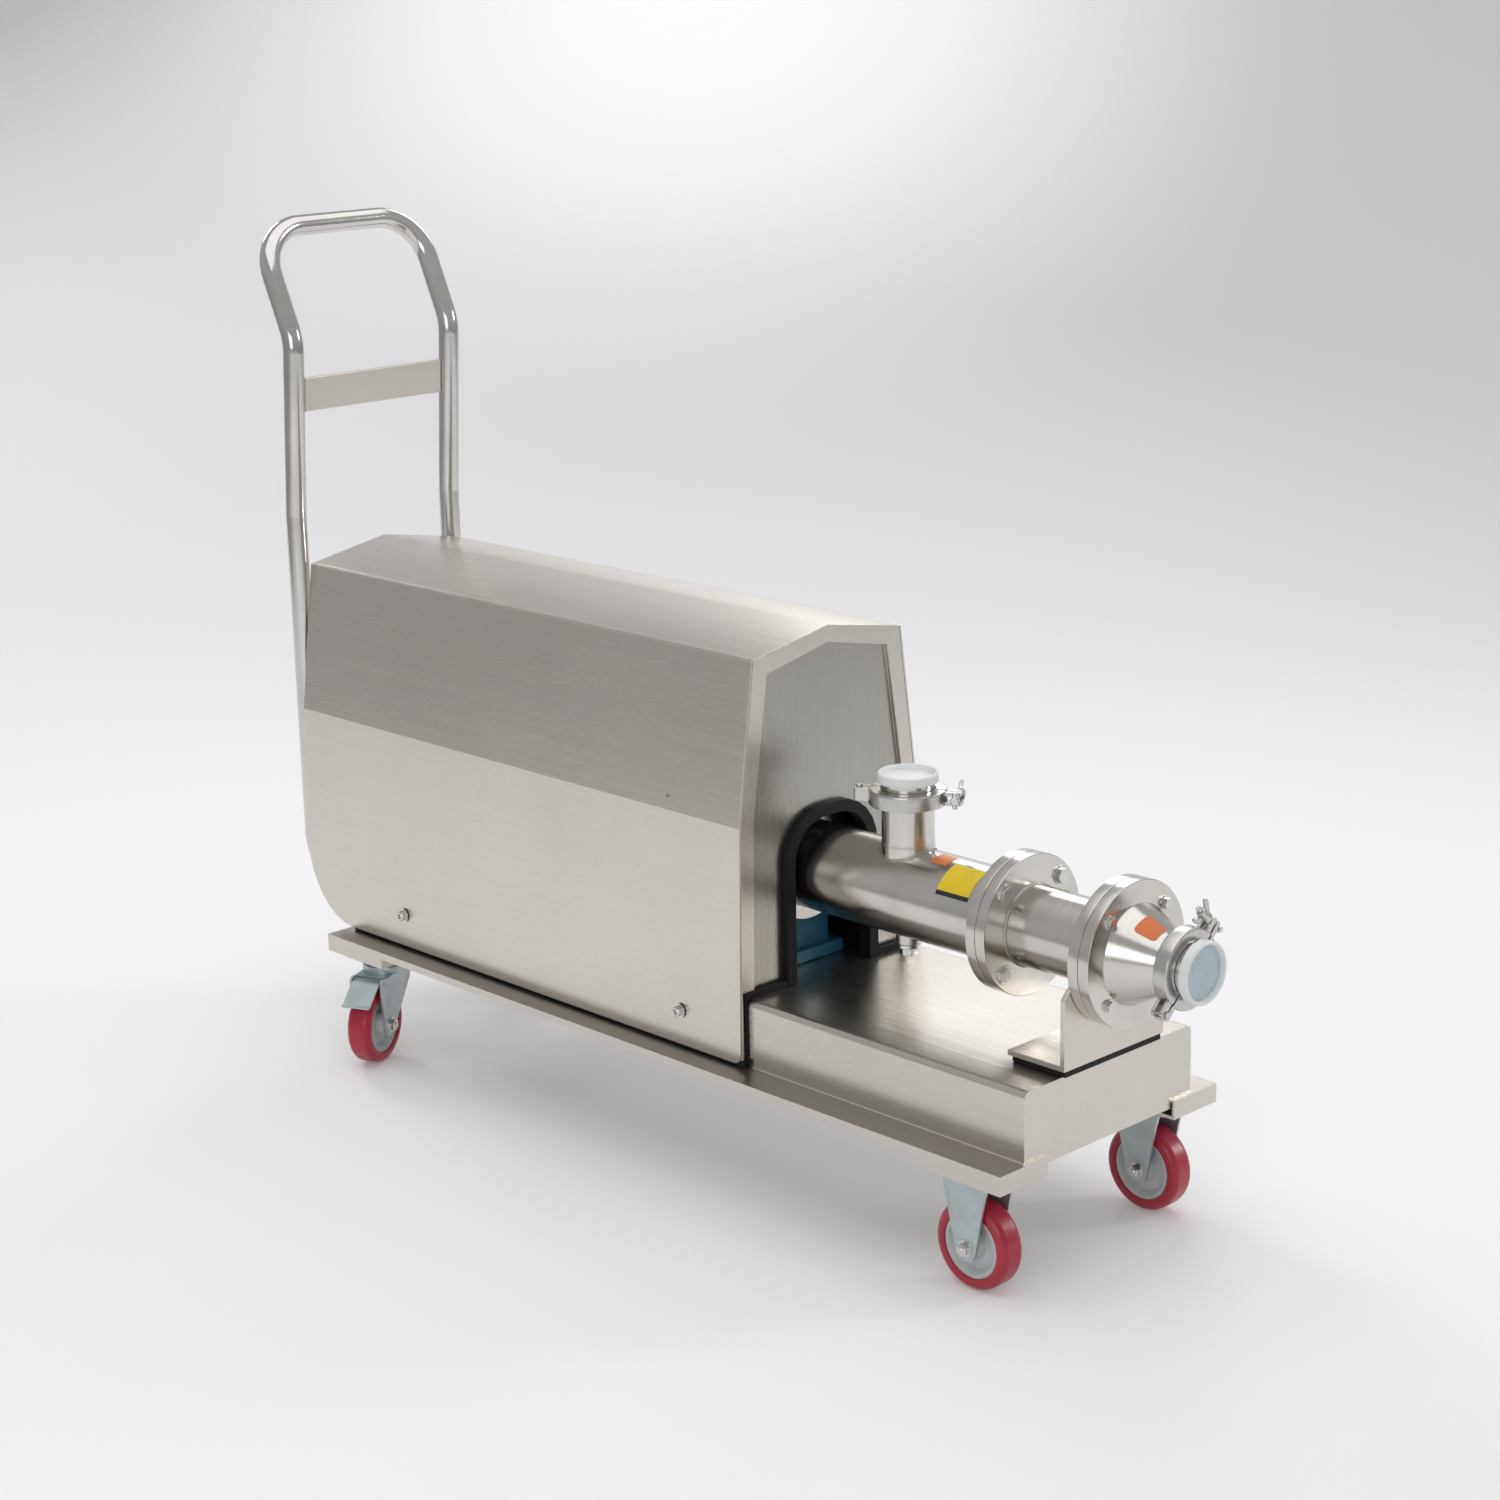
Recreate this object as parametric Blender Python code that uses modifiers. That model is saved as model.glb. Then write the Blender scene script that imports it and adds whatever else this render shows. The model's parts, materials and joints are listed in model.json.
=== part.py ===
# Mobile hygienic progressive cavity pump on a four-caster trolley.
# Metres, +Z up, +X towards the discharge, the floor at Z = 0.
# A steel rotor rolls in a rubber stator with a two-start slot; a connecting
# rod joins it to the drive shaft, behind a gear motor under a folded hood.
import math

import bmesh
import bpy
from mathutils import Matrix, Vector

# Fits and sheet thicknesses
gap = 0.0003
tray_sheet = 0.0025
hood_sheet = 0.0020

# Trolley
wheel_radius = 0.050
base_length = 1.150
base_half_width = 0.180
deck_height = 2 * wheel_radius + 0.053
deck_lip = 0.009
platform_rise = 0.079
platform_half_width = 0.138
platform_setback = 0.004
bend_radius = 0.008
root_radius = 0.0025
pad_length = 0.112
pad_width = 0.075
pad_depth = 0.022
pad_plate = 0.004

# Casters
tread_width = 0.032
wheel_sides = 24
core_radius = 0.0365
fork_sheet = 0.0030
fork_side_gap = 0.0040
plate_sheet = 0.0030
caster_plate_x = 0.095
caster_plate_y = 0.067
axle_radius = 0.0045
swivel_trail = 0.034
front_caster_x = base_length - 0.062
rear_caster_x = 0.067
caster_y = 0.142
clamp_turn_inlet = 30.0
clamp_turn_outlet = 135.0
wing_turn_inlet = 90.0
wing_turn_outlet = 0.0
motor_ribs = 14
near_turn = math.radians(-65.0)
far_turn = math.radians(170.0)
pedal_reach = 0.039
joint_play = 0.0006
pedal_pivot_back = 0.046
pedal_pivot_height = 0.108

# Push handle
handle_radius = 0.014
handle_half_width = 0.124
handle_leg_x = -0.094
handle_low_x = -0.078
handle_top_x = -0.140
handle_top_z = 1.040
handle_low_z = handle_top_z - 0.135
handle_bend_z = handle_low_z - 0.225
handle_entry_z = 0.200
handle_corner = 0.062
crossbar_low = handle_low_z - 0.092
crossbar_high = crossbar_low + 0.043
crossbar_sheet = 0.006

# Hood over the gear motor
hood_rear_x = -0.076
hood_front_x = 0.735
hood_seal = 0.008
eave_half_width = 0.116
crease_half_width = 0.141
foot_half_width = 0.146
eave_z = 0.620
crease_z = 0.433
ridge_z = 0.640
hood_rear_radius = 0.088
roof_lip = 0.024
front_recess = 0.005
trim_width = 0.010
trim_depth = 0.016
trim_lip = 0.004
door_half_width = 0.064
door_top_z = 0.424
panel_sheet = 0.0025
panel_front_radius = 0.010
panel_screw_z = 0.198
panel_screw_x = (0.123, 0.636)

# Pump line
pump_z = 0.3554
casing_radius = 0.0515
casing_wall = 0.0030
casing_rear_x = 0.690
flange_radius = 0.0785
flange_sheet = 0.0135
casing_length = 0.334
pair_one_x = casing_rear_x + casing_length
stator_length = 0.142
end_flange_radius = 0.0800
bolt_circle = 0.0640
bolt_radius = 0.0040
bolt_head_radius = 0.0072
bolt_head_height = 0.0055
stator_tube_radius = 0.0450
stator_tube_wall = 0.0030

# Rotor and stator geometry
rotor_radius = 0.0140
rotor_offset = 0.0050
rotor_pitch = 0.0480
rotor_clearance = 0.0019
rotor_sides = 16
rotor_steps = 10

# Drive line
shaft_radius = 0.0175
seal_room = 0.0105
rod_radius = 0.0080
joint_rear_x = casing_rear_x + 0.085
joint_front_x = pair_one_x - 0.039

# Ports
port_x = casing_rear_x + 0.166
port_radius = 0.0295
port_wall = 0.0020
port_face = 0.1085
ferrule_radius = 0.0385
ferrule_sheet = 0.0060
ferrule_rim = 0.38
collar_flare = 0.0030
gasket_sheet = 0.0016
clamp_radius = 0.0440
stub_length = 0.012
cap_radius = 0.0342
cap_length = 0.0050
cap_sheet = 0.0022
cap_lip = 0.0060
bolt_reach = 0.0115
ear_half = 0.0075
outlet_flange_x = pair_one_x + stator_length + 0.0140
cone_length = 0.0560
cone_root_radius = 0.0545
outlet_port_radius = 0.0305

# Support bracket
bracket_sheet = 0.0060
bracket_half_width = 0.082
bracket_foot = 0.078
bracket_pad = 0.007
bracket_top_z = 0.330

# Gear motor
gear_front_x = casing_rear_x - 0.145
gear_length = 0.150
motor_radius = 0.088
motor_length = 0.230
cowl_length = 0.085

# Places that follow
deck_front = base_length
platform_z = deck_height + platform_rise
pad_z = deck_height - pad_depth
seat_z = pad_z - gap
fork_half = tread_width / 2 + fork_side_gap
handle_back = handle_top_x - handle_radius
pair_two_x = pair_one_x + stator_length
cap_front_x = (outlet_flange_x + cone_length + 2 * ferrule_sheet + gasket_sheet
               + 3 * gap + stub_length + cap_sheet + cap_lip)
pedal_half = fork_half - 0.0008
near_reach = (caster_y + (pedal_pivot_back + pedal_reach) * math.sin(-near_turn)
              + pedal_half * math.cos(near_turn))
origin_x = (handle_back + cap_front_x) / 2
origin_y = (base_half_width - near_reach) / 2

palette = {
    "brushed_steel": ((0.62, 0.59, 0.55), 0.36, 1.0),
    "polished_steel": ((0.72, 0.71, 0.69), 0.20, 1.0),
    "zinc": ((0.52, 0.60, 0.60), 0.42, 0.9),
    "red_polyurethane": ((0.50, 0.02, 0.06), 0.35, 0.0),
    "grey_core": ((0.62, 0.64, 0.63), 0.50, 0.0),
    "black_rubber": ((0.02, 0.02, 0.02), 0.60, 0.0),
    "white_plastic": ((0.86, 0.88, 0.88), 0.40, 0.0),
    "blue_paint": ((0.05, 0.25, 0.36), 0.50, 0.1),
    "white_seal": ((0.85, 0.84, 0.80), 0.50, 0.0),
    "dark_steel": ((0.35, 0.35, 0.36), 0.35, 1.0),
}


def clear_scene():
    for obj in list(bpy.data.objects):
        bpy.data.objects.remove(obj, do_unlink=True)


def collection(name):
    group = bpy.data.collections.new(name)
    bpy.context.scene.collection.children.link(group)
    return group


def material(name, finish):
    colour, roughness, metallic = palette[finish]
    mat = bpy.data.materials.new(name)
    mat.use_nodes = True
    surface = mat.node_tree.nodes["Principled BSDF"]
    surface.inputs["Base Color"].default_value = (*colour, 1.0)
    surface.inputs["Roughness"].default_value = roughness
    surface.inputs["Metallic"].default_value = metallic
    mat.diffuse_color = (*colour, 1.0)
    return mat


clear_scene()
parts = collection("progressive_cavity_pump")
cutters = collection("cutters")


def empty(name, location, parent=None, rotation=(0, 0, 0)):
    holder = bpy.data.objects.new(name, None)
    holder.empty_display_size = 0.05
    holder.location = location
    holder.rotation_euler = rotation
    holder.parent = parent
    parts.objects.link(holder)
    return holder


trolley = empty("trolley", (-origin_x, -origin_y, 0))


def hold(obj, holder):
    """Hangs a shape and all its helper shapes on the same holder."""
    obj.parent = holder
    for step in obj.modifiers:
        if step.type == "BOOLEAN":
            hold(step.object, holder)


def place(obj, finish, parent=None, location=None, rotation=None):
    """Gives a finished shape its material, its holder and its place."""
    obj.data.materials.clear()
    obj.data.materials.append(material(obj.name, finish))
    hold(obj, parent if parent else trolley)
    if location is not None:
        obj.location = location
    if rotation is not None:
        obj.rotation_euler = rotation
    return obj


def from_bmesh(name, bm, group=None):
    mesh = bpy.data.meshes.new(name)
    bm.to_mesh(mesh)
    bm.free()
    obj = bpy.data.objects.new(name, mesh)
    (group or parts).objects.link(obj)
    return obj


def as_cutter(obj):
    """Moves a helper shape out of the parts and hides it from the render."""
    for group in list(obj.users_collection):
        group.objects.unlink(obj)
    cutters.objects.link(obj)
    obj.hide_render = True
    obj.display_type = "WIRE"
    return obj


def combine(obj, other, operation):
    """Cuts or joins with a helper and settles the result into the mesh."""
    as_cutter(other)
    step = obj.modifiers.new(other.name, "BOOLEAN")
    step.object = other
    step.operation = operation
    step.solver = "EXACT"
    return obj


def cut(obj, *others):
    for other in others:
        combine(obj, other, "DIFFERENCE")
    return obj


def join(obj, *others):
    for other in others:
        combine(obj, other, "UNION")
    return obj


def box(name, low, high, rounding=0.0):
    """A block between two corners, its edges rounded where asked."""
    bm = bmesh.new()
    bmesh.ops.create_cube(bm, size=1.0)
    low = Vector(low)
    high = Vector(high)
    size = high - low
    middle = (high + low) / 2
    bmesh.ops.scale(bm, vec=size, verts=bm.verts)
    bmesh.ops.translate(bm, vec=middle, verts=bm.verts)
    obj = from_bmesh(name, bm)
    if rounding:
        bevel = obj.modifiers.new("edges", "BEVEL")
        bevel.width = rounding
        bevel.segments = 2
        bevel.limit_method = "ANGLE"
    return obj


def cylinder(name, radius, start, length, axis="X", sides=24, radius_end=None):
    """A round bar from a start point along +X, +Y or +Z."""
    bm = bmesh.new()
    end = radius if radius_end is None else radius_end
    bmesh.ops.create_cone(bm, cap_ends=True, segments=sides, radius1=radius,
                          radius2=end, depth=length)
    bmesh.ops.translate(bm, vec=(0, 0, length / 2), verts=bm.verts)
    turn = {"X": Matrix.Rotation(math.pi / 2, 4, "Y"),
            "Y": Matrix.Rotation(-math.pi / 2, 4, "X"),
            "Z": Matrix.Identity(4)}[axis]
    bmesh.ops.transform(bm, matrix=Matrix.Translation(start) @ turn,
                        verts=bm.verts)
    obj = from_bmesh(name, bm)
    shade_round(obj)
    return obj


def shade_round(obj):
    obj.data.shade_smooth()
    obj.data.set_sharp_from_angle(angle=math.radians(35))


def turned(name, profile, steps=24, axis="X"):
    """Spins an outline of (along, radius) points about its axis.

    The outline runs down the outer side from the far end to the near end,
    and either starts and ends on the axis or closes as a ring.
    """
    bm = bmesh.new()
    verts = [bm.verts.new((radius, 0, along)) for along, radius in profile]
    for first, second in zip(verts, verts[1:]):
        bm.edges.new((first, second))
    if profile[0][1] > 1e-6:
        bm.edges.new((verts[-1], verts[0]))
    obj = from_bmesh(name, bm)
    screw = obj.modifiers.new("turn", "SCREW")
    screw.axis = "Z"
    screw.steps = steps
    screw.render_steps = steps
    screw.use_merge_vertices = True
    screw.merge_threshold = 0.00001
    screw.use_smooth_shade = True
    if axis == "X":
        obj.rotation_euler = (0, math.pi / 2, 0)
    return obj


def ring(name, near, far, inner, outer, steps=24, axis="X"):
    """A plain ring between two stations along its axis."""
    outline = [(far, inner), (far, outer), (near, outer), (near, inner)]
    return turned(name, outline, steps, axis)


def swept(name, points, radius, resolution=3, closed=False):
    """A round bar along a POLY path."""
    curve = bpy.data.curves.new(name, "CURVE")
    curve.dimensions = "3D"
    spline = curve.splines.new("POLY")
    spline.points.add(len(points) - 1)
    for knot, place_at in zip(spline.points, points):
        knot.co = (*place_at, 1.0)
    spline.use_cyclic_u = closed
    curve.bevel_depth = radius
    curve.bevel_resolution = resolution
    curve.use_fill_caps = True
    obj = bpy.data.objects.new(name, curve)
    parts.objects.link(obj)
    return to_mesh(obj)


def to_mesh(obj):
    """Makes a curve a welded mesh object of the same name and place."""
    bpy.context.view_layer.update()
    seen = obj.evaluated_get(bpy.context.evaluated_depsgraph_get())
    mesh = bpy.data.meshes.new_from_object(seen)
    name = obj.name
    matrix = obj.matrix_world.copy()
    bpy.data.objects.remove(obj, do_unlink=True)
    bm = bmesh.new()
    bm.from_mesh(mesh)
    bmesh.ops.remove_doubles(bm, verts=bm.verts, dist=0.00001)
    bmesh.ops.recalc_face_normals(bm, faces=bm.faces)
    bm.to_mesh(mesh)
    bm.free()
    solid = bpy.data.objects.new(name, mesh)
    solid.matrix_world = matrix
    parts.objects.link(solid)
    shade_round(solid)
    return solid


def rounded_corner(before, corner, after, radius, steps=6):
    """Points of the arc that rounds a corner of a path."""
    back = (Vector(before) - Vector(corner)).normalized()
    ahead = (Vector(after) - Vector(corner)).normalized()
    half = back.angle(ahead) / 2
    reach = radius / math.tan(half)
    middle = (back + ahead).normalized() * (radius / math.sin(half))
    centre = Vector(corner) + middle
    start = Vector(corner) + back * reach - centre
    finish = Vector(corner) + ahead * reach - centre
    sweep = start.angle(finish)
    normal = start.cross(finish).normalized()
    return [centre + Matrix.Rotation(sweep * i / steps, 3, normal) @ start
            for i in range(steps + 1)]


def extruded(name, outline, low, high, axis="X"):
    """Fills a closed outline and gives it depth along an axis.

    Along X the outline holds (y, z) points, along Y (x, z), along Z (x, y).
    """
    bm = bmesh.new()
    flip = {"X": lambda u, v: (low, u, v), "Y": lambda u, v: (u, low, v),
            "Z": lambda u, v: (u, v, low)}[axis]
    verts = [bm.verts.new(flip(u, v)) for u, v in outline]
    face = bm.faces.new(verts)
    grown = bmesh.ops.extrude_face_region(bm, geom=[face])
    moved = [v for v in grown["geom"] if isinstance(v, bmesh.types.BMVert)]
    shift = {"X": (high - low, 0, 0), "Y": (0, high - low, 0),
             "Z": (0, 0, high - low)}[axis]
    bmesh.ops.translate(bm, vec=shift, verts=moved)
    bmesh.ops.recalc_face_normals(bm, faces=bm.faces)
    return from_bmesh(name, bm)


def arc(centre, radius, start, end, steps):
    """Points of a flat arc, its angles in degrees."""
    points = []
    for i in range(steps + 1):
        angle = math.radians(start + (end - start) * i / steps)
        points.append((centre[0] + radius * math.cos(angle),
                       centre[1] + radius * math.sin(angle)))
    return points


def base_tray():
    """Folded hat-shaped tray with a lipped deck and four caster pads."""
    half = platform_half_width
    low = deck_height - deck_lip
    knots = [(-base_half_width, low), (-base_half_width, deck_height),
             (-half, deck_height), (-half, platform_z), (half, platform_z),
             (half, deck_height), (base_half_width, deck_height),
             (base_half_width, low)]
    knots = [(0, y, z) for y, z in knots]
    outline = [knots[0][1:], knots[1][1:]]
    for before, corner, after in zip(knots[1:], knots[2:], knots[3:-1]):
        radius = bend_radius if corner[2] > deck_height else root_radius
        for point in rounded_corner(before, corner, after, radius, 3):
            outline.append((point.y, point.z))
    outline += [knots[-2][1:], knots[-1][1:]]
    bm = bmesh.new()
    verts = [bm.verts.new((platform_setback, y, z)) for y, z in outline]
    edges = [bm.edges.new(pair) for pair in zip(verts, verts[1:])]
    grown = bmesh.ops.extrude_edge_only(bm, edges=edges)
    moved = [v for v in grown["geom"] if isinstance(v, bmesh.types.BMVert)]
    span = deck_front - 2 * platform_setback
    bmesh.ops.translate(bm, vec=(span, 0, 0), verts=moved)
    bmesh.ops.recalc_face_normals(bm, faces=bm.faces)
    if max(bm.faces, key=lambda f: f.calc_center_median().z).normal.z < 0:
        bmesh.ops.reverse_faces(bm, faces=bm.faces)
    tray = from_bmesh("base_tray", bm)
    sheet = tray.modifiers.new("sheet", "SOLIDIFY")
    sheet.thickness = tray_sheet
    sheet.offset = -1
    sheet.use_even_offset = True
    for end, x in (("front", deck_front - platform_setback - tray_sheet),
                   ("rear", platform_setback)):
        edge = half - tray_sheet / 2
        top = platform_z - tray_sheet / 2
        corner = bend_radius - tray_sheet / 2
        face = [(-edge, low)]
        face += arc((-edge + corner, top - corner), corner, 180, 90, 3)
        face += arc((edge - corner, top - corner), corner, 90, 0, 3)
        face += [(edge, low)]
        plate = extruded("tray_end_" + end, face, x, x + tray_sheet)
        join(tray, plate)
    for end in (0, 1):
        for side in (-1, 1):
            join(tray, caster_pad(end, side))
    place(tray, "brushed_steel")


def caster_pad(end, side):
    """A folded corner pad, open towards the middle of the trolley."""
    near = 0.0 if end == 0 else deck_front - pad_length
    far = near + pad_length
    name = f"pad_{'rear' if end == 0 else 'front'}_{'near' if side < 0 else 'far'}"
    inner = base_half_width - pad_width
    ys = sorted((side * base_half_width, side * inner))
    block = box(name, (near, ys[0], pad_z), (far, ys[1], deck_height))
    hollow_inner = inner - 0.01
    ys = sorted((side * (base_half_width - tray_sheet), side * hollow_inner))
    hollow = box(name + "_hollow",
                 (near + tray_sheet, ys[0], pad_z + pad_plate),
                 (far - tray_sheet, ys[1], deck_height - tray_sheet))
    return cut(block, hollow)


def handle():
    """Bent tube with its two legs, and the flat bar welded between them."""
    entry_x = platform_setback - gap
    y = handle_half_width
    knots = [(entry_x, -y, handle_entry_z), (handle_leg_x, -y, handle_entry_z),
             (handle_leg_x, -y, handle_bend_z), (handle_low_x, -y, handle_low_z),
             (handle_top_x, -y, handle_top_z), (handle_top_x, y, handle_top_z),
             (handle_low_x, y, handle_low_z), (handle_leg_x, y, handle_bend_z),
             (handle_leg_x, y, handle_entry_z), (entry_x, y, handle_entry_z)]
    route = [Vector(knots[0])]
    for before, corner, after in zip(knots, knots[1:], knots[2:]):
        bend = (Vector(before) - Vector(corner)).angle(
            Vector(after) - Vector(corner))
        steps = 2 if bend > math.radians(160) else 5
        route += rounded_corner(before, corner, after, handle_corner, steps)
    route.append(Vector(knots[-1]))
    tube = swept("handle_tube", route, handle_radius, 2)
    place(tube, "polished_steel")
    lean = ((handle_low_x - handle_leg_x) / (handle_low_z - handle_bend_z))
    middle_z = (crossbar_low + crossbar_high) / 2
    middle_x = handle_leg_x + lean * (middle_z - handle_bend_z)
    reach = y - handle_radius - gap
    height = crossbar_high - crossbar_low
    bar = box("handle_crossbar",
              (-crossbar_sheet / 2, -reach, -height / 2),
              (crossbar_sheet / 2, reach, height / 2), 0.0012)
    place(bar, "brushed_steel", location=(middle_x, 0, middle_z),
          rotation=(0, math.atan(lean), 0))


def hood_outline(inset=0.0, foot=None):
    """Half outline of the hood's section, from the ridge to the foot."""
    base = deck_height + hood_seal if foot is None else foot
    return [(0.0, ridge_z - inset), (eave_half_width - inset, eave_z - inset),
            (crease_half_width - inset, crease_z),
            (foot_half_width - inset, base)]


def whole(half):
    """Mirrors a half outline given from the ridge down."""
    left = [(-y, z) for y, z in reversed(half[1:])]
    return left + half


def hood():
    """Folded hood: gabled roof, inner sides, front and rear plates."""
    outline = whole(hood_outline())
    shell = extruded("hood", outline, hood_rear_x, hood_front_x)
    inside = whole(hood_outline(hood_sheet, deck_height))
    hollow = extruded("hood_inside", inside, hood_rear_x + hood_sheet,
                      hood_front_x - front_recess - hood_sheet)
    face = whole(hood_outline(roof_lip - 0.004))
    recess = extruded("hood_recess", face, hood_front_x - front_recess,
                      hood_front_x + 0.01)
    clear = platform_half_width + 0.004
    step = extruded("hood_step", [
        (-clear, deck_height - 0.01), (clear, deck_height - 0.01),
        (clear, platform_z + hood_seal), (-clear, platform_z + hood_seal)],
        hood_front_x - 0.05, hood_front_x + 0.02)
    door = extruded("hood_door", door_outline(0.0), hood_front_x - 0.05,
                    hood_front_x + 0.02)
    foot_z = deck_height + hood_seal
    radius = hood_rear_radius
    corner = arc((hood_rear_x + radius, foot_z + radius), radius, 180, 270, 7)
    corner += [(hood_rear_x - 0.02, foot_z - 0.01),
               (hood_rear_x - 0.02, foot_z + radius)]
    under = extruded("hood_under", corner, -0.2, 0.2, "Y")
    leg_gap = extruded("hood_leg_gap", [
        (hood_rear_x - 0.02, foot_z - 0.02), (hood_rear_x + 0.06, foot_z - 0.02),
        (hood_rear_x + 0.06, handle_entry_z + 0.062),
        (hood_rear_x - 0.02, handle_entry_z + 0.062)],
        -foot_half_width + 0.006, foot_half_width - 0.006, "Y")
    holes = [cylinder(f"hood_screw_hole_{i}", 0.0045, (x, -0.2, panel_screw_z),
                      0.4, "Y", 8) for i, x in enumerate(panel_screw_x)]
    cut(shell, hollow, recess, step, door, under, leg_gap, *holes)
    place(shell, "brushed_steel")


def door_outline(grow):
    """The arched opening that the pump casing comes through."""
    half = door_half_width + grow
    crown = door_top_z + grow
    low = platform_z - 0.02
    radius = 0.052 + grow
    points = [(half, low)]
    points += arc((half - radius, crown - radius), radius, 0, 90, 6)
    points += arc((-half + radius, crown - radius), radius, 90, 180, 6)
    points += [(-half, low)]
    return points


def hood_rubber():
    """Edge trim round the arch, and the strip that the hood stands on."""
    back = hood_front_x - front_recess - hood_sheet - 3 * gap
    front = hood_front_x - front_recess + gap
    arch_front = front + trim_depth / 2
    arch_z = platform_z + 2 * gap
    arch = extruded("hood_rubber", [
        (y, max(z, arch_z)) for y, z in door_outline(trim_width)],
        front, arch_front)
    neck = extruded("rubber_neck", [
        (y, max(z, arch_z)) for y, z in door_outline(-gap)],
        back - trim_depth / 4, front + 0.001)
    hole = extruded("rubber_hole", door_outline(-trim_lip), back - 0.05,
                    arch_front + 0.05)
    join(arch, neck)
    reach = foot_half_width + 0.001
    wall = platform_half_width + gap
    inner = wall + root_radius
    step_z = deck_height + root_radius + gap
    foot = deck_height + hood_seal - gap
    sill = platform_z + hood_seal - gap
    inset = 0.0005
    for side in (-1, 1):
        outline = [(door_half_width - 0.001, platform_z + gap),
                   (wall, platform_z + gap), (wall, step_z), (inner, step_z),
                   (inner, deck_height + gap), (reach, deck_height + gap),
                   (reach, foot), (inner, foot), (inner, sill),
                   (door_half_width - 0.001, sill)]
        strip = extruded(f"rubber_strip_{side}",
                         [(side * y, z) for y, z in outline],
                         back, arch_front - 2 * inset)
        ys = sorted((side * (inner + inset), side * (reach - inset)))
        run = box(f"rubber_run_{side}",
                  (hood_rear_x + hood_rear_radius, ys[0],
                   deck_height + gap + inset),
                  (back + 0.004, ys[1], foot - inset))
        join(arch, strip, run)
    cut(arch, hole)
    place(arch, "black_rubber")


def side_panel(side):
    """Side plate bent at the crease, standing proud of the hood."""
    name = "side_panel_" + ("near" if side < 0 else "far")
    foot_z = deck_height + hood_seal
    lean = (eave_half_width - crease_half_width) / (eave_z - crease_z)
    rear_x = hood_rear_x
    front_x = hood_front_x
    radius = hood_rear_radius
    rows = [eave_z - 0.001, crease_z]
    drop = 8
    rear_arc = arc((rear_x + radius, foot_z + radius), radius, 180, 270, drop)
    front_arc = arc((front_x - panel_front_radius,
                     foot_z + panel_front_radius),
                    panel_front_radius, 270, 360, 3)
    outline = [(rear_x, rows[1]), *rear_arc, *front_arc, (front_x, rows[1])]
    bm = bmesh.new()

    def reach(z):
        """How far out the hood's side lies at a height."""
        if z >= crease_z:
            return crease_half_width + lean * (z - crease_z)
        share = (crease_z - z) / (crease_z - foot_z)
        return crease_half_width + share * (foot_half_width
                                            - crease_half_width)

    lower = [bm.verts.new((x, side * (reach(z) + gap), z))
             for x, z in outline]
    bm.faces.new(lower)
    top = [bm.verts.new((x, side * (reach(rows[0]) + gap), rows[0]))
           for x in (front_x, rear_x)]
    bm.faces.new([lower[0], lower[-1], top[0], top[1]])
    bmesh.ops.recalc_face_normals(bm, faces=bm.faces)
    middle = max(bm.faces, key=lambda f: f.calc_area())
    if middle.normal.y * side < 0:
        bmesh.ops.reverse_faces(bm, faces=bm.faces)
    panel = from_bmesh(name, bm)
    sheet = panel.modifiers.new("sheet", "SOLIDIFY")
    sheet.thickness = panel_sheet
    sheet.offset = 1
    sheet.use_even_offset = True
    for index, x in enumerate(panel_screw_x):
        hole = cylinder(f"{name}_hole_{index}", 0.0045,
                        (x, -0.2, panel_screw_z), 0.4, "Y", 8)
        cut(panel, hole)
    place(panel, "brushed_steel")
    return panel


def panel_screw(side, index):
    """Cap screw through the side panel into the hood's weld nut."""
    tag = "near" if side < 0 else "far"
    name = f"panel_screw_{tag}_{index + 1}"
    face = foot_half_width + panel_sheet + 2 * gap
    inner = foot_half_width - hood_sheet - 0.006
    head = 0.0075
    screw = turned(name, [
        (face + head, 0.0), (face + head, 0.0050),
        (face + head - 0.0012, 0.0062), (face, 0.0062), (face, 0.0035),
        (inner, 0.0035), (inner, 0.0)], 12, "Z")
    place(screw, "polished_steel",
          location=(panel_screw_x[index], 0, panel_screw_z),
          rotation=(-side * math.pi / 2, 0, 0))
    return screw


def rounded_rectangle(half_x, half_y, radius, steps=3):
    points = []
    for sx, sy, start in ((1, 1, 0), (-1, 1, 90), (-1, -1, 180), (1, -1, 270)):
        centre = (sx * (half_x - radius), sy * (half_y - radius))
        points += arc(centre, radius, start, start + 90, steps)
    return points


def hex_outline(radius):
    return [(radius * math.cos(math.radians(60 * i + 30)),
             radius * math.sin(math.radians(60 * i + 30))) for i in range(6)]


def caster_plate(name):
    """Top plate with rounded corners, its upper face against the pad."""
    outline = rounded_rectangle(caster_plate_x / 2, caster_plate_y / 2, 0.010)
    return extruded(name, outline, seat_z - plate_sheet, seat_z, "Z")


def fork_leg(name, side, outline, crease_x):
    """One side of a fork: a tapered sheet, bent inwards past a crease."""
    bm = bmesh.new()
    inward = math.tan(math.radians(12.0))
    inner = fork_half

    def drop(x):
        return inward * max(0.0, crease_x - x)

    back = [p for p in outline if p[0] <= crease_x + 1e-6]
    front = [p for p in outline if p[0] >= crease_x - 1e-6]
    for half in (back, front):
        if len(half) < 3:
            continue
        bm.faces.new([bm.verts.new((x, side * (inner - drop(x)), z))
                      for x, z in half])
    bmesh.ops.remove_doubles(bm, verts=bm.verts, dist=0.00001)
    bmesh.ops.recalc_face_normals(bm, faces=bm.faces)
    if max(bm.faces, key=lambda f: f.calc_area()).normal.y * side < 0:
        bmesh.ops.reverse_faces(bm, faces=bm.faces)
    leg = from_bmesh(name, bm)
    sheet = leg.modifiers.new("sheet", "SOLIDIFY")
    sheet.thickness = fork_sheet
    sheet.offset = 1
    sheet.use_even_offset = True
    return leg


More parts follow.
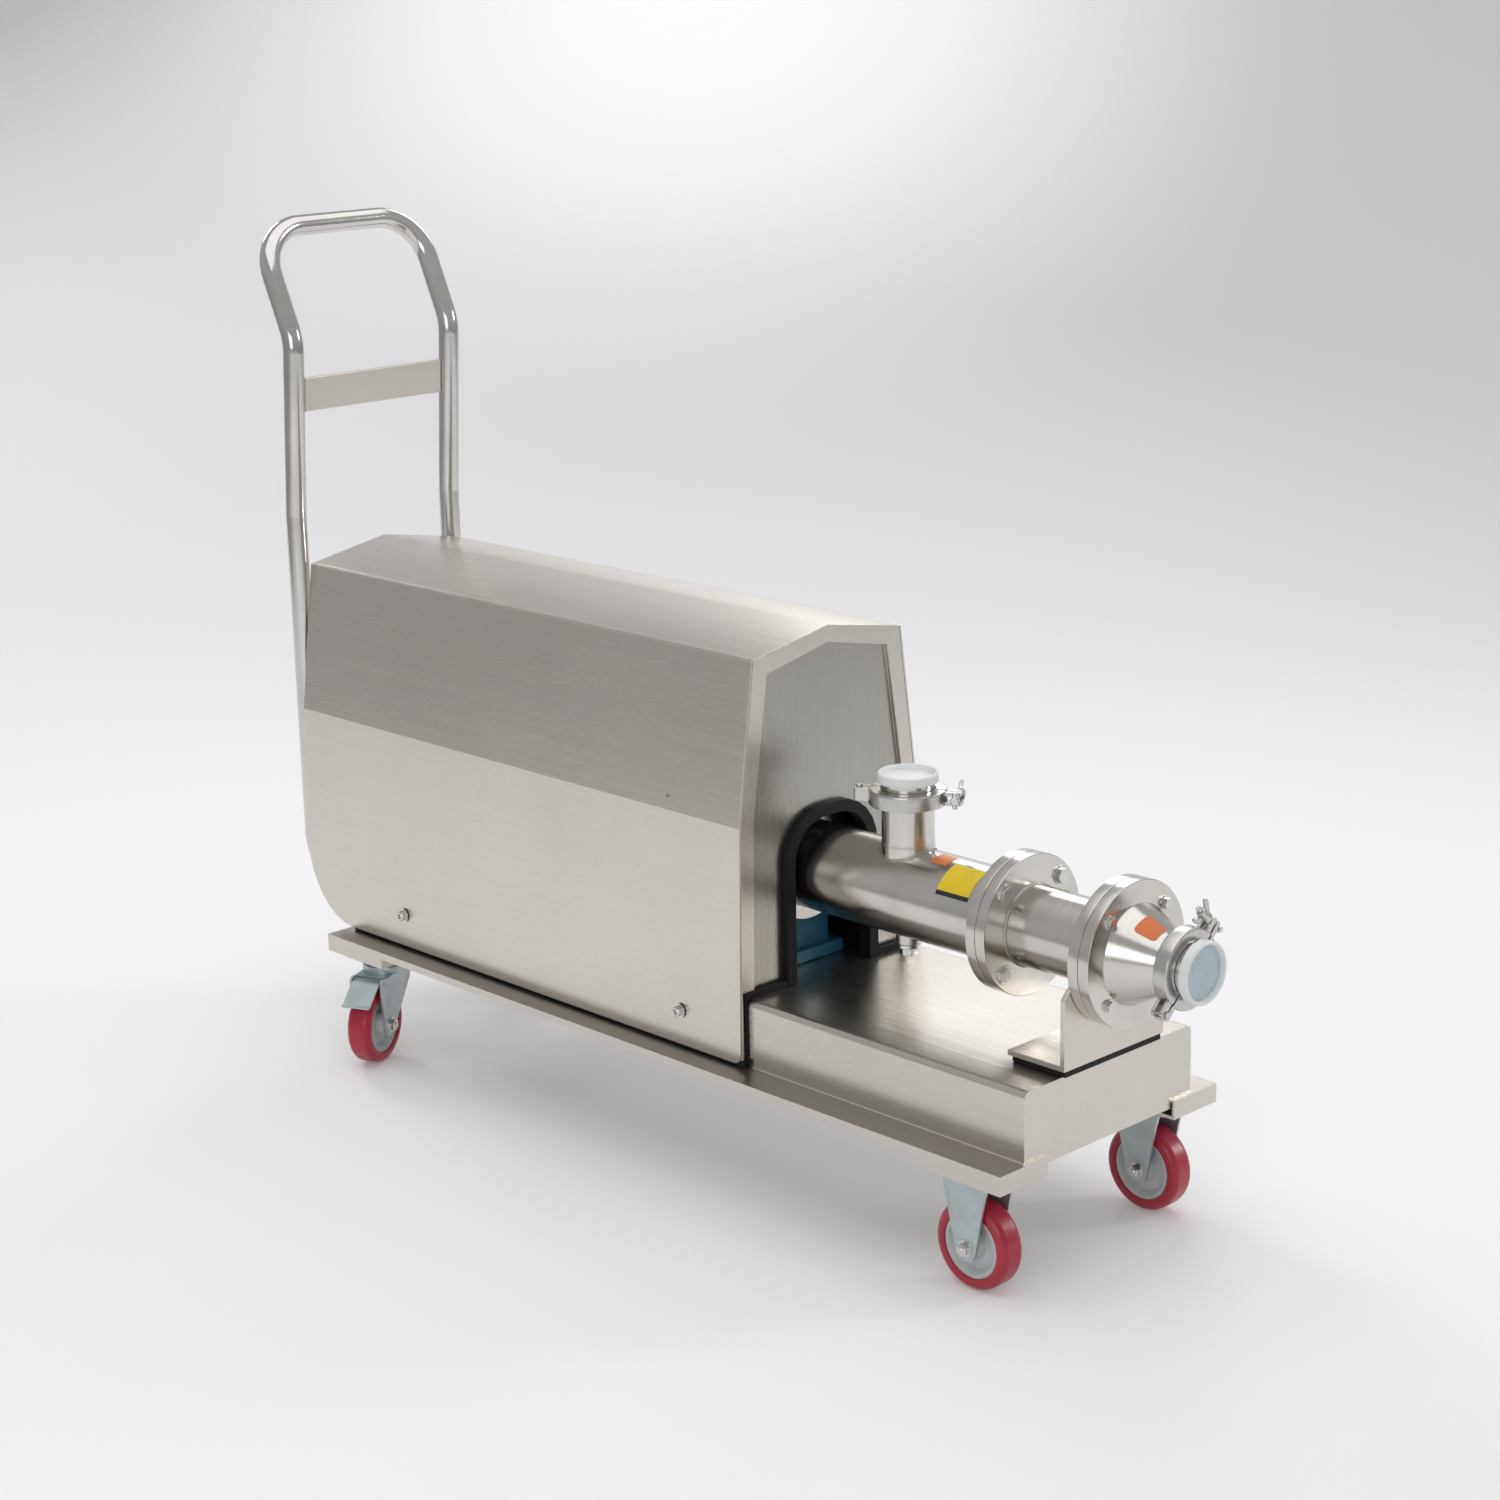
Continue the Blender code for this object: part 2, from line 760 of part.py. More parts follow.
def axle(name, x):
    """Axle bolt through both legs, a hexagon head and a nut outside."""
    half = fork_half + fork_sheet
    bar = cylinder(name, axle_radius, (x, -half - 0.001, wheel_radius),
                   2 * half + 0.002, "Y", 12)
    for side in (-1, 1):
        ys = sorted((side * (half - 0.001), side * (half + 0.0055)))
        head = extruded(f"{name}_head_{side}", [
            (x + u, wheel_radius + v) for u, v in hex_outline(0.0075)],
            ys[0], ys[1], "Y")
        join(bar, head)
    return bar


def rigid_caster(tag, y):
    """Fixed front caster: pressed fork with its plate, core and tyre."""
    top = seat_z - plate_sheet / 2
    holder = empty(f"caster_front_{tag}", (front_caster_x, y, 0), trolley)
    fork = caster_plate(f"fork_front_{tag}")
    low = arc((0, wheel_radius), 0.015, 200, 340, 6)
    crease = -0.010
    under = wheel_radius - math.sqrt(0.015 ** 2 - crease ** 2)
    outline = [(-0.038, top), (-0.034, 0.112)]
    outline += [p for p in low if p[0] < crease - 0.001] + [(crease, under)]
    outline += [p for p in low if p[0] > crease + 0.001]
    outline += [(0.026, 0.108), (0.032, top), (crease, top)]
    for side in (-1, 1):
        leg = fork_leg(f"leg_front_{tag}_{side}", side, outline, crease)
        join(fork, leg)
    join(fork, axle(f"axle_front_{tag}", 0.0))
    place(fork, "zinc", holder)
    wheel(f"front_{tag}", holder, 0.0)


def swivel_caster(tag, y, turn):
    """Rear caster: plate and kingpin, turning fork, wheel, brake pedal."""
    holder = empty(f"swivel_rear_{tag}", (rear_caster_x, y, 0), trolley,
                   (0, 0, turn))
    base = empty(f"caster_rear_{tag}", (rear_caster_x, y, 0), trolley)
    pin_radius = 0.0060
    head_low = seat_z - plate_sheet - 0.0142
    bridge_low = head_low - 0.0030
    plate = caster_plate(f"plate_rear_{tag}")
    race = turned(f"race_{tag}", [
        (seat_z - plate_sheet / 2, 0.0), (seat_z - plate_sheet / 2, 0.022),
        (seat_z - plate_sheet - 0.006, 0.022),
        (seat_z - plate_sheet - 0.006, pin_radius),
        (bridge_low - gap, pin_radius), (bridge_low - gap, 0.0095),
        (bridge_low - 0.004, 0.0095), (bridge_low - 0.004, 0.0)], 16, "Z")
    join(plate, race)
    place(plate, "zinc", base)
    head_top = seat_z - plate_sheet - 0.006 - gap
    fork = cylinder(f"fork_rear_{tag}", 0.028, (0, 0, bridge_low + 0.001),
                    head_top - bridge_low - 0.001, "Z", 16)
    back = swivel_trail + 0.004
    bridge = box(f"bridge_{tag}", (-0.022, -fork_half - 0.001, bridge_low),
                 (back, fork_half + 0.001, bridge_low + fork_sheet))
    hole = cylinder(f"bridge_hole_{tag}", pin_radius + gap,
                    (0, 0, bridge_low - 0.01), 0.03, "Z", 16)
    join(fork, bridge)
    cut(fork, hole)
    top = bridge_low + fork_sheet
    pivot = (pedal_pivot_back, pedal_pivot_height)
    low = arc((swivel_trail, wheel_radius), 0.015, 190, 350, 6)
    outline = [(-0.026, top), (-0.024, top - 0.016)] + low
    outline += [(pivot[0] + 0.007, pivot[1] - 0.010)]
    outline += arc(pivot, 0.007, 0, 80, 3)
    outline += [(back, top)]
    for side in (-1, 1):
        leg = fork_leg(f"leg_rear_{tag}_{side}", side, outline, -0.050)
        join(fork, leg)
    pivot_hole = cylinder(f"pedal_hole_{tag}", 0.0028,
                          (pivot[0], -0.05, pivot[1]), 0.1, "Y", 8)
    cut(fork, pivot_hole)
    join(fork, axle(f"axle_rear_{tag}", swivel_trail))
    place(fork, "zinc", holder)
    pedal(tag, holder, pivot)
    wheel(f"rear_{tag}", holder, swivel_trail)


def pedal(tag, holder, pivot):
    """Bent brake pedal on a cross pin, over the trailing side of the tread."""
    hinge = empty(f"pedal_axis_{tag}", (pivot[0], 0, pivot[1]), holder)
    half = pedal_half
    plate = 0.0025
    path = [(-0.006, 0.0035), (0.004, 0.0035), (0.010, 0.001), (0.034, -0.019),
            (pedal_reach, -0.0195)]
    bm = bmesh.new()
    verts = [bm.verts.new((x, -half, z)) for x, z in path]
    edges = [bm.edges.new(pair) for pair in zip(verts, verts[1:])]
    grown = bmesh.ops.extrude_edge_only(bm, edges=edges)
    moved = [v for v in grown["geom"] if isinstance(v, bmesh.types.BMVert)]
    bmesh.ops.translate(bm, vec=(0, 2 * half, 0), verts=moved)
    bmesh.ops.recalc_face_normals(bm, faces=bm.faces)
    if sum(f.normal.z for f in bm.faces) < 0:
        bmesh.ops.reverse_faces(bm, faces=bm.faces)
    body = from_bmesh(f"brake_pedal_{tag}", bm)
    sheet = body.modifiers.new("sheet", "SOLIDIFY")
    sheet.thickness = plate
    sheet.offset = -1
    sheet.use_even_offset = True
    pin = cylinder(f"pedal_pin_{tag}", 0.0025,
                   (0, -fork_half - fork_sheet - 0.001, 0),
                   2 * (fork_half + fork_sheet + 0.001), "Y", 8)
    join(body, pin)
    place(body, "zinc", hinge)


def wheel(tag, holder, x):
    """Hub, web and rim in one moulding, with its polyurethane tyre."""
    hub = empty(f"wheel_axis_{tag}", (x, 0, wheel_radius), holder)
    hub_half = fork_half - gap
    rim_half = tread_width / 2 - 0.002
    core = turned(f"core_{tag}", [
        (rim_half, core_radius - 0.005), (rim_half, core_radius),
        (-rim_half, core_radius), (-rim_half, core_radius - 0.005),
        (-0.005, core_radius - 0.008), (-hub_half, 0.0105),
        (-hub_half, axle_radius + gap), (hub_half, axle_radius + gap),
        (hub_half, 0.0105), (0.005, core_radius - 0.008)], wheel_sides, "Z")
    place(core, "grey_core", hub, rotation=(-math.pi / 2, 0, 0))
    half = tread_width / 2
    tyre = turned(f"tyre_{tag}", [
        (half, core_radius + gap), (half, wheel_radius - 0.006),
        (half - 0.006, wheel_radius), (-half + 0.006, wheel_radius),
        (-half, wheel_radius - 0.006), (-half, core_radius + gap)],
        wheel_sides, "Z")
    place(tyre, "red_polyurethane", hub, rotation=(-math.pi / 2, 0, 0))


def bolt_angles():
    return [math.radians(45 + 90 * i) for i in range(4)]


def drill_flange(flange, name, start, length):
    """Four clearance holes on the bolt circle."""
    for index, angle in enumerate(bolt_angles()):
        spot = (start, bolt_circle * math.cos(angle),
                pump_z + bolt_circle * math.sin(angle))
        cut(flange, cylinder(f"{name}_hole_{index}", bolt_radius + gap,
                             spot, length, "X", 8))


def on_axis(obj, finish, parent=None):
    """Places a piece turned about local Z so that it lies on the pump line."""
    holder = parent or trolley
    return place(obj, finish, holder, (0, 0, 0 if parent else pump_z),
                 (0, math.pi / 2, 0))


def suction_casing():
    """Welded body: tube, port with ferrule, drain boss and two flanges."""
    inner = casing_radius - casing_wall
    rear = casing_rear_x
    front = pair_one_x - gap / 2
    body = turned("suction_casing", [
        (front, inner), (front, flange_radius - 0.001),
        (front - 0.001, flange_radius),
        (front - flange_sheet + 0.001, flange_radius),
        (front - flange_sheet, flange_radius - 0.001),
        (front - flange_sheet, casing_radius + 0.0015),
        (front - flange_sheet - 0.003, casing_radius),
        (rear + 0.012, casing_radius), (rear + 0.012, flange_radius - 0.012),
        (rear, flange_radius - 0.012), (rear, shaft_radius + seal_room),
        (rear + 0.008, shaft_radius + seal_room), (rear + 0.008, inner)])
    face = port_face
    port_bore = port_radius - port_wall
    port = turned("port_tube", [
        (face, port_bore), (face, ferrule_radius),
        (face - ferrule_sheet * ferrule_rim, ferrule_radius),
        (face - ferrule_sheet, port_radius + 0.0006),
        (face - ferrule_sheet - 0.001, port_radius),
        (casing_radius + 0.008, port_radius),
        (casing_radius + 0.001, port_radius + collar_flare),
        (0.020, port_radius + collar_flare), (0.020, port_bore)], 24, "Z")
    port.location = (port_x, 0, pump_z)
    bore = cylinder("port_bore", port_bore - gap, (port_x, 0, pump_z),
                    casing_radius + 0.003, "Z", 24)
    boss = cylinder("drain_boss", 0.0145, (port_x, 0, pump_z - 0.061),
                    0.020, "Z", 20)
    drain = cylinder("drain_bore", 0.0085, (port_x, 0, pump_z - 0.07),
                     0.05, "Z", 16)
    core = cylinder("casing_core", inner - gap, (port_x - 0.045, 0, pump_z),
                    0.090, "X", 24)
    join(body, port, boss)
    cut(body, core, bore, drain)
    drill_flange(body, "casing", front - 0.05, 0.1)
    on_axis(body, "polished_steel")


def drain_plug():
    """Screwed plug with a hexagon head under the casing."""
    face = pump_z - 0.061 - gap
    plug = cylinder("drain_plug", 0.0081, (port_x, 0, face - 0.002), 0.016,
                    "Z", 16)
    rim = cylinder("drain_plug_rim", 0.0135, (port_x, 0, face - 0.005), 0.005,
                   "Z", 20)
    head = extruded("drain_plug_head", [
        (port_x + u, v) for u, v in hex_outline(0.0105)],
        face - 0.014, face - 0.004, "Z")
    join(plug, rim, head)
    place(plug, "polished_steel")


def slot_section(x):
    """Outline of the stator slot at a station: a race-track that turns
    half as fast along the pump as the rotor does."""
    turn = math.pi * (x - pair_one_x) / rotor_pitch
    radius = rotor_radius + rotor_clearance
    half = rotor_sides // 2
    points = []
    for side, start in ((1, -90), (-1, 90)):
        centre = side * 2 * rotor_offset
        for i in range(half):
            angle = math.radians(start + 180 * i / (half - 1))
            points.append((centre + radius * math.cos(angle),
                           radius * math.sin(angle)))
    spin = (math.cos(turn), math.sin(turn))
    return [(x, u * spin[0] - v * spin[1],
             pump_z + u * spin[1] + v * spin[0]) for u, v in points]


def rotor_section(x):
    """Circle of the rotor at a station, off its own axis by the offset."""
    turn = 2 * math.pi * (x - pair_one_x) / rotor_pitch
    y = rotor_offset * (1 + math.cos(turn))
    z = pump_z + rotor_offset * math.sin(turn)
    return [(x, y + rotor_radius * math.cos(2 * math.pi * i / rotor_sides),
             z + rotor_radius * math.sin(2 * math.pi * i / rotor_sides))
            for i in range(rotor_sides)]


def stations(start, end, step):
    count = max(2, math.ceil((end - start) / step - 1e-9))
    return [start + (end - start) * i / count for i in range(count + 1)]


def lofted(name, sections, origin=None):
    """Joins equal rings of points with a skin and caps both ends."""
    origin = Vector(origin or (0, 0, 0))
    bm = bmesh.new()
    rings = [[bm.verts.new(Vector(point) - origin) for point in section]
             for section in sections]
    for first, second in zip(rings, rings[1:]):
        count = len(first)
        for i in range(count):
            j = (i + 1) % count
            bm.faces.new((first[i], first[j], second[j], second[i]))
    bm.faces.new(rings[0])
    bm.faces.new(rings[-1])
    bmesh.ops.recalc_face_normals(bm, faces=bm.faces)
    return from_bmesh(name, bm)


def stator_tube():
    """Steel barrel with a bolted flange at each end."""
    start = pair_one_x + gap / 2
    end = pair_two_x - gap / 2
    inner = stator_tube_radius - stator_tube_wall
    profile = [
        (end, inner), (end, end_flange_radius - 0.001),
        (end - 0.001, end_flange_radius),
        (end - flange_sheet + 0.001, end_flange_radius),
        (end - flange_sheet, end_flange_radius - 0.001),
        (end - flange_sheet, stator_tube_radius + 0.002),
        (end - flange_sheet - 0.002, stator_tube_radius),
        (start + flange_sheet + 0.002, stator_tube_radius),
        (start + flange_sheet, stator_tube_radius + 0.002),
        (start + flange_sheet, flange_radius - 0.001),
        (start + flange_sheet - 0.001, flange_radius),
        (start + 0.001, flange_radius), (start, flange_radius - 0.001),
        (start, inner)]
    barrel = turned("stator_tube", profile, 24)
    drill_flange(barrel, "stator", end - flange_sheet - 0.01,
                 flange_sheet + 0.02)
    flange_bolts(barrel, "mid", start - gap - flange_sheet,
                 2 * flange_sheet + gap)
    on_axis(barrel, "polished_steel")


def stator_liner():
    """Rubber moulding inside the barrel, with the two-start slot."""
    start = pair_one_x + 2 * gap
    end = pair_two_x - 2 * gap
    liner = cylinder("stator_rubber", stator_tube_radius - stator_tube_wall - gap,
                     (start, 0, pump_z), end - start, "X", 24)
    step = rotor_pitch / rotor_steps
    rows = [slot_section(x) for x in stations(start - step, end + step, step)]
    cut(liner, lofted("stator_slot", rows))
    place(liner, "black_rubber")


def orbit_holder():
    """The rotor's axis is carried round the stator axis by this frame."""
    return empty("rotor_orbit_axis", (joint_front_x, 0, pump_z), trolley)


def rotor(orbit):
    """Helical rotor: a round bar whose centre winds about its own axis."""
    start = pair_one_x + 2 * gap
    end = pair_two_x - 0.006
    spin = empty("rotor_axis", (0, rotor_offset, 0), orbit)
    origin = (joint_front_x, rotor_offset, pump_z)
    step = rotor_pitch / rotor_steps
    helix = lofted("rotor", [rotor_section(x) for x in
                             stations(start, end, step)], origin)
    helix.data.shade_smooth()
    neck = cylinder("rotor_neck", rotor_radius - rotor_offset,
                    (0.008, 0, 0), start - joint_front_x - 0.008 + 0.004,
                    "X", 16)
    head = cylinder("rotor_head", 0.0155, (joint_play, 0, 0), 0.0254, "X", 16)
    join(helix, neck, head)
    place(helix, "polished_steel", spin)


def rod(orbit):
    """Connecting rod from the drive shaft's joint to the rotor's joint."""
    start = Vector((joint_rear_x, 0, pump_z))
    end = Vector((joint_front_x, rotor_offset, pump_z))
    length = (end - start).length
    tilt = math.asin(rotor_offset / length)
    line = empty("rod_axis", (0, rotor_offset, 0), orbit, (0, 0, tilt))
    ball = 0.0115
    profile = [(0.0, 0.0), (0.0, ball * 0.8), (-ball, ball), (-2 * ball, ball),
               (-2.6 * ball, rod_radius), (-length + 2.6 * ball, rod_radius),
               (-length + 2 * ball, ball), (-length + ball, ball),
               (-length, ball * 0.8), (-length, 0.0)]
    bar = turned("connecting_rod", profile, 12)
    place(bar, "polished_steel", line, (0, 0, 0), (0, math.pi / 2, 0))


def joint_sleeve(orbit):
    """Round sealing sleeve over the rotor's joint."""
    sleeve = ring("joint_sleeve", -0.014, 0.022, 0.0158, 0.0195, 16)
    place(sleeve, "black_rubber", orbit, (0, rotor_offset, 0),
          (0, math.pi / 2, 0))


def discharge_cone():
    """Reducer cast with its flange and the outlet ferrule."""
    start = pair_two_x + gap / 2
    front = outlet_flange_x
    end = front + cone_length
    rim = ferrule_sheet * ferrule_rim
    face = end + ferrule_sheet
    cone = turned("discharge_cone", [
        (face, outlet_port_radius - port_wall), (face, ferrule_radius),
        (face - rim, ferrule_radius), (end, outlet_port_radius),
        (end - 0.006, outlet_port_radius),
        (front + 0.004, cone_root_radius - 0.001), (front, cone_root_radius),
        (front, end_flange_radius - 0.001), (front - 0.001, end_flange_radius),
        (start + 0.001, end_flange_radius), (start, end_flange_radius - 0.001),
        (start, cone_root_radius - 0.006), (front + 0.003,
                                            cone_root_radius - 0.006),
        (end - 0.006, outlet_port_radius - port_wall)], 24)
    behind = start - gap - flange_sheet
    flange_bolts(cone, "end", behind, front - behind,
                 bracket_sheet + 2 * gap)
    on_axis(cone, "polished_steel")


def flange_bolts(carrier, tag, start, length, low_extra=0.0):
    """Four bolts through a flange pair, carried by its front flange."""
    names = ("upper_far", "upper_near", "lower_near", "lower_far")
    for name, angle in zip(names, bolt_angles()):
        y = bolt_circle * math.cos(angle)
        z = pump_z + bolt_circle * math.sin(angle)
        extra = low_extra if z < pump_z else 0.0
        label = f"bolt_{tag}_{name}"
        nut_face = start - gap - extra
        shank = cylinder(label, bolt_radius, (nut_face - 0.004, y, z),
                         start + length - nut_face + 0.006, "X", 8)
        head = turned(label + "_head", [
            (bolt_head_height, 0.0),
            (bolt_head_height, bolt_head_radius * 0.8),
            (bolt_head_height - 0.001, bolt_head_radius),
            (-0.001, bolt_head_radius), (-0.001, 0.0)], 6)
        head.location = (start + length, y, z)
        nut = extruded(label + "_nut", [
            (y + u, z + v) for u, v in hex_outline(bolt_head_radius)],
            nut_face - bolt_head_height, nut_face)
        join(carrier, shank, head, nut)


def support_bracket():
    """Folded stand under the outlet flanges, on its rubber pad."""
    front = outlet_flange_x - 0.001 - flange_sheet
    low = platform_z + bracket_pad + 2 * gap
    face_x = bracket_face_x()
    plate = extruded("support_bracket", [
        (-bracket_half_width, low), (bracket_half_width, low),
        (bracket_half_width, bracket_top_z - 0.012),
        (bracket_half_width - 0.012, bracket_top_z),
        (-bracket_half_width + 0.012, bracket_top_z),
        (-bracket_half_width, bracket_top_z - 0.012)],
        face_x - bracket_sheet, face_x)
    foot = box("bracket_foot", (face_x - bracket_foot, -bracket_half_width, low),
               (face_x - 0.001, bracket_half_width, low + bracket_sheet))
    throat = cylinder("bracket_throat", stator_tube_radius + 0.0025 + gap,
                      (face_x - 0.03, 0, pump_z), 0.06, "X", 24)
    join(plate, foot)
    cut(plate, throat)
    for index in (2, 3):
        angle = bolt_angles()[index]
        spot = (face_x - 0.03, bolt_circle * math.cos(angle),
                pump_z + bolt_circle * math.sin(angle))
        cut(plate, cylinder(f"bracket_hole_{index}", bolt_radius + gap, spot,
                            0.06, "X", 12))
    place(plate, "brushed_steel")
    pad = box("bracket_pad_rubber",
              (face_x - bracket_foot + 0.004, -bracket_half_width + 0.003,
               platform_z + gap),
              (face_x - 0.001, bracket_half_width - 0.003,
               platform_z + gap + bracket_pad))
    place(pad, "black_rubber")


def bracket_face_x():
    return pair_two_x - flange_sheet - 2 * gap


def port_frames():
    """Each port's frame: local Z leads out of the ferrule's flat face."""
    inlet = empty("inlet_axis", (port_x, 0, pump_z + port_face), trolley,
                  (0, 0, math.radians(clamp_turn_inlet)))
    outlet_x = outlet_flange_x + cone_length + ferrule_sheet
    outlet = empty("outlet_axis", (outlet_x, 0, pump_z), trolley)
    outlet.rotation_mode = "ZYX"
    outlet.rotation_euler = (0, math.pi / 2, math.radians(clamp_turn_outlet))
    return {"inlet": inlet, "outlet": outlet}


def port_set(tag, frame):
    """Gasket, stub ferrule, hinged clamp, swing bolt, wing nut and cap."""
    gasket = ring(f"gasket_{tag}", gap, gap + gasket_sheet,
                  port_radius - port_wall, ferrule_radius - 0.0015, 24, "Z")
    place(gasket, "white_seal", frame)
    low = gasket_sheet + 2 * gap
    rim = ferrule_sheet * ferrule_rim
    high = low + ferrule_sheet + stub_length
    stub = turned(f"stub_{tag}", [
        (high, port_radius - port_wall), (high, port_radius),
        (low + ferrule_sheet, port_radius), (low + rim, ferrule_radius),
        (low, ferrule_radius), (low, port_radius - port_wall)], 24, "Z")
    place(stub, "polished_steel", frame)
    clamp(tag, frame, low)
    cap(tag, frame, high)


def clamp(tag, frame, low):
    """Two half rings with ears, their hinge pin, swing bolt and wing nut."""
    middle = low / 2
    half_height = low / 2 + ferrule_sheet + 0.0018
    slope = ferrule_sheet
    inner = ferrule_radius + gap
    throat = port_radius + 0.0012
    profile = [(middle + half_height, throat),
               (middle + half_height, clamp_radius - 0.0015),
               (middle + half_height - 0.0015, clamp_radius),
               (middle - half_height + 0.0015, clamp_radius),
               (middle - half_height, clamp_radius - 0.0015),
               (middle - half_height, throat),
               (-slope - gap, throat), (-ferrule_sheet * ferrule_rim - gap, inner),
               (low + ferrule_sheet * ferrule_rim + gap, inner),
               (low + slope + gap, throat)]
    ear_out = clamp_radius + 0.017
    sides = {"front": 1, "back": -1}
    for label, side in sides.items():
        name = f"clamp_{tag}_{label}"
        body = turned(name, profile, 24, "Z")
        split = 0.0012
        ear_ys = sorted((side * split, side * ear_half))
        for end in (-1, 1):
            xs = sorted((end * (clamp_radius - 0.004), end * ear_out))
            ear = box(f"{name}_ear_{end}",
                      (xs[0], ear_ys[0], middle - ear_half),
                      (xs[1], ear_ys[1], middle + ear_half))
            join(body, ear)
        away_ys = sorted((side * split, -side * 0.08))
        away = box(f"{name}_other_half", (-0.08, away_ys[0], -0.03),
                   (0.08, away_ys[1], 0.03))
        cut(body, away)
        slot = box(f"{name}_slot", (clamp_radius + 0.0045, -0.03, middle - 0.0034),
                   (ear_out + 0.01, 0.03, middle + 0.0034))
        cut(body, slot)
        if side > 0:
            hinge = cylinder(f"{name}_hinge", 0.0029, (
                -ear_out + 0.006, 0, middle - 0.02), 0.04, "Z", 12)
            cut(body, hinge)
        else:
            pin = cylinder(f"{name}_pin", 0.0026, (
                -ear_out + 0.006, 0, middle - ear_half - 0.002),
                2 * ear_half + 0.004, "Z", 12)
            join(body, pin)
        place(body, "polished_steel", frame)
    bolt_x = clamp_radius + bolt_reach
    bolt = cylinder(f"swing_bolt_{tag}", 0.0029, (bolt_x, -0.0145, middle),
                    0.044, "Y", 12)
    eye = cylinder(f"swing_bolt_head_{tag}", 0.0050,
                   (bolt_x, -0.0145, middle), 0.0065, "Y", 16)
    join(bolt, eye)
    place(bolt, "polished_steel", frame)
    wing_nut(tag, frame, bolt_x, middle,
             wing_turn_inlet if tag == "inlet" else wing_turn_outlet)


def wing_nut(tag, frame, bolt_x, middle, rest_turn):
    """Hub and two wings on the end of the swing bolt."""
    holder = empty(f"wing_nut_axis_{tag}", (bolt_x, ear_half + gap, middle),
                   frame)
    length = 0.0155
    hub = turned(f"wing_nut_{tag}", [
        (length, 0.0029 + gap), (length, 0.0048), (0.004, 0.0066),
        (0.0, 0.0066), (0.0, 0.0029 + gap)], 16, "Z")
    wings = []
    for side in (-1, 1):
        outline = [(side * u, v) for u, v in
                   ((0.0042, 0.003), (0.0085, 0.0045), (0.0135, 0.0125),
                    (0.0145, 0.0185), (0.0115, 0.0200), (0.0085, 0.0165),
                    (0.0042, 0.0120))]
        if side < 0:
            outline.reverse()
        wings.append(extruded(f"wing_{tag}_{side}", [
            (u, v) for u, v in outline], -0.0016, 0.0016, "Y"))
    join(hub, *wings)
    turn = (-math.pi / 2, math.radians(rest_turn), 0)
    place(hub, "polished_steel", holder, rotation=turn)
    for wing in wings:
        wing.rotation_euler = turn


def cap(tag, frame, high):
    """Pushed-on plastic cap with a recessed face."""
    low = high - cap_length + cap_sheet
    inner = port_radius + gap
    floor = high + gap
    body = turned(f"cap_{tag}", [
        (floor + cap_sheet, 0.0), (floor + cap_sheet, inner - 0.003),
        (floor + cap_sheet + cap_lip * 0.86, inner - 0.0015),
        (floor + cap_sheet + cap_lip, inner + 0.001),
        (floor + cap_sheet + cap_lip * 0.86, cap_radius), (low, cap_radius),
        (low, inner), (floor, inner), (floor, 0.0)], 24, "Z")
    place(body, "white_plastic", frame)


def gear_unit():
    """Cast gear case on two feet, with a round nose towards the pump."""
    back = gear_front_x - gear_length
    body = box("gear_unit", (back, -0.085, platform_z + 0.004),
               (gear_front_x - 0.02, 0.085, pump_z + 0.095), 0.014)
    nose = cylinder("gear_nose", 0.078, (gear_front_x - 0.03, 0, pump_z),
                    0.030, "X", 24)
    foot = box("gear_foot", (back + 0.01, -0.115, platform_z + gap),
               (gear_front_x - 0.035, 0.115, platform_z + 0.018), 0.003)
    join(body, nose, foot)
    bore = cylinder("gear_bore", shaft_radius + gap,
                    (gear_front_x - 0.05, 0, pump_z), 0.08, "X", 24)
    motor_bore = cylinder("gear_motor_bore", 0.0145 + gap,
                          (back - 0.01, 0, pump_z), 0.045, "X", 16)
    cut(body, bore, motor_bore)
    place(body, "blue_paint")


def bearing_bracket():
    """Blue cast bracket between gear unit and pump, open at its sides."""
    back = gear_front_x + gap
    front = casing_rear_x - gap
    flange_back = cylinder("bearing_bracket", 0.078, (back, 0, pump_z),
                           0.014, "X", 24)
    tube = cylinder("bracket_barrel", 0.058, (back + 0.007, 0, pump_z),
                    front - back - 0.014, "X", 24)
    flange_front = cylinder("bracket_nose", flange_radius - 0.012,
                            (front - 0.012, 0, pump_z), 0.012, "X", 24)
    pedestal = box("bracket_pedestal", (front - 0.060, -0.046, platform_z + gap),
                   (front - 0.004, 0.046, pump_z - 0.03), 0.004)
    base = box("bracket_base", (front - 0.072, -0.060, platform_z + gap),
               (front + 0.006, 0.060, platform_z + 0.016), 0.003)
    join(flange_back, tube, flange_front, pedestal, base)
    hollow = cylinder("bracket_hollow", 0.046, (back - 0.01, 0, pump_z),
                      front - back - 0.01, "X", 24)
    window = box("bracket_window", (back + 0.030, -0.09, pump_z - 0.012),
                 (front - 0.040, 0.09, pump_z + 0.034))
    throat = cylinder("bracket_bore", shaft_radius + 0.010,
                      (front - 0.04, 0, pump_z), 0.06, "X", 24)
    cut(flange_back, hollow, window, throat)
    place(flange_back, "blue_paint")


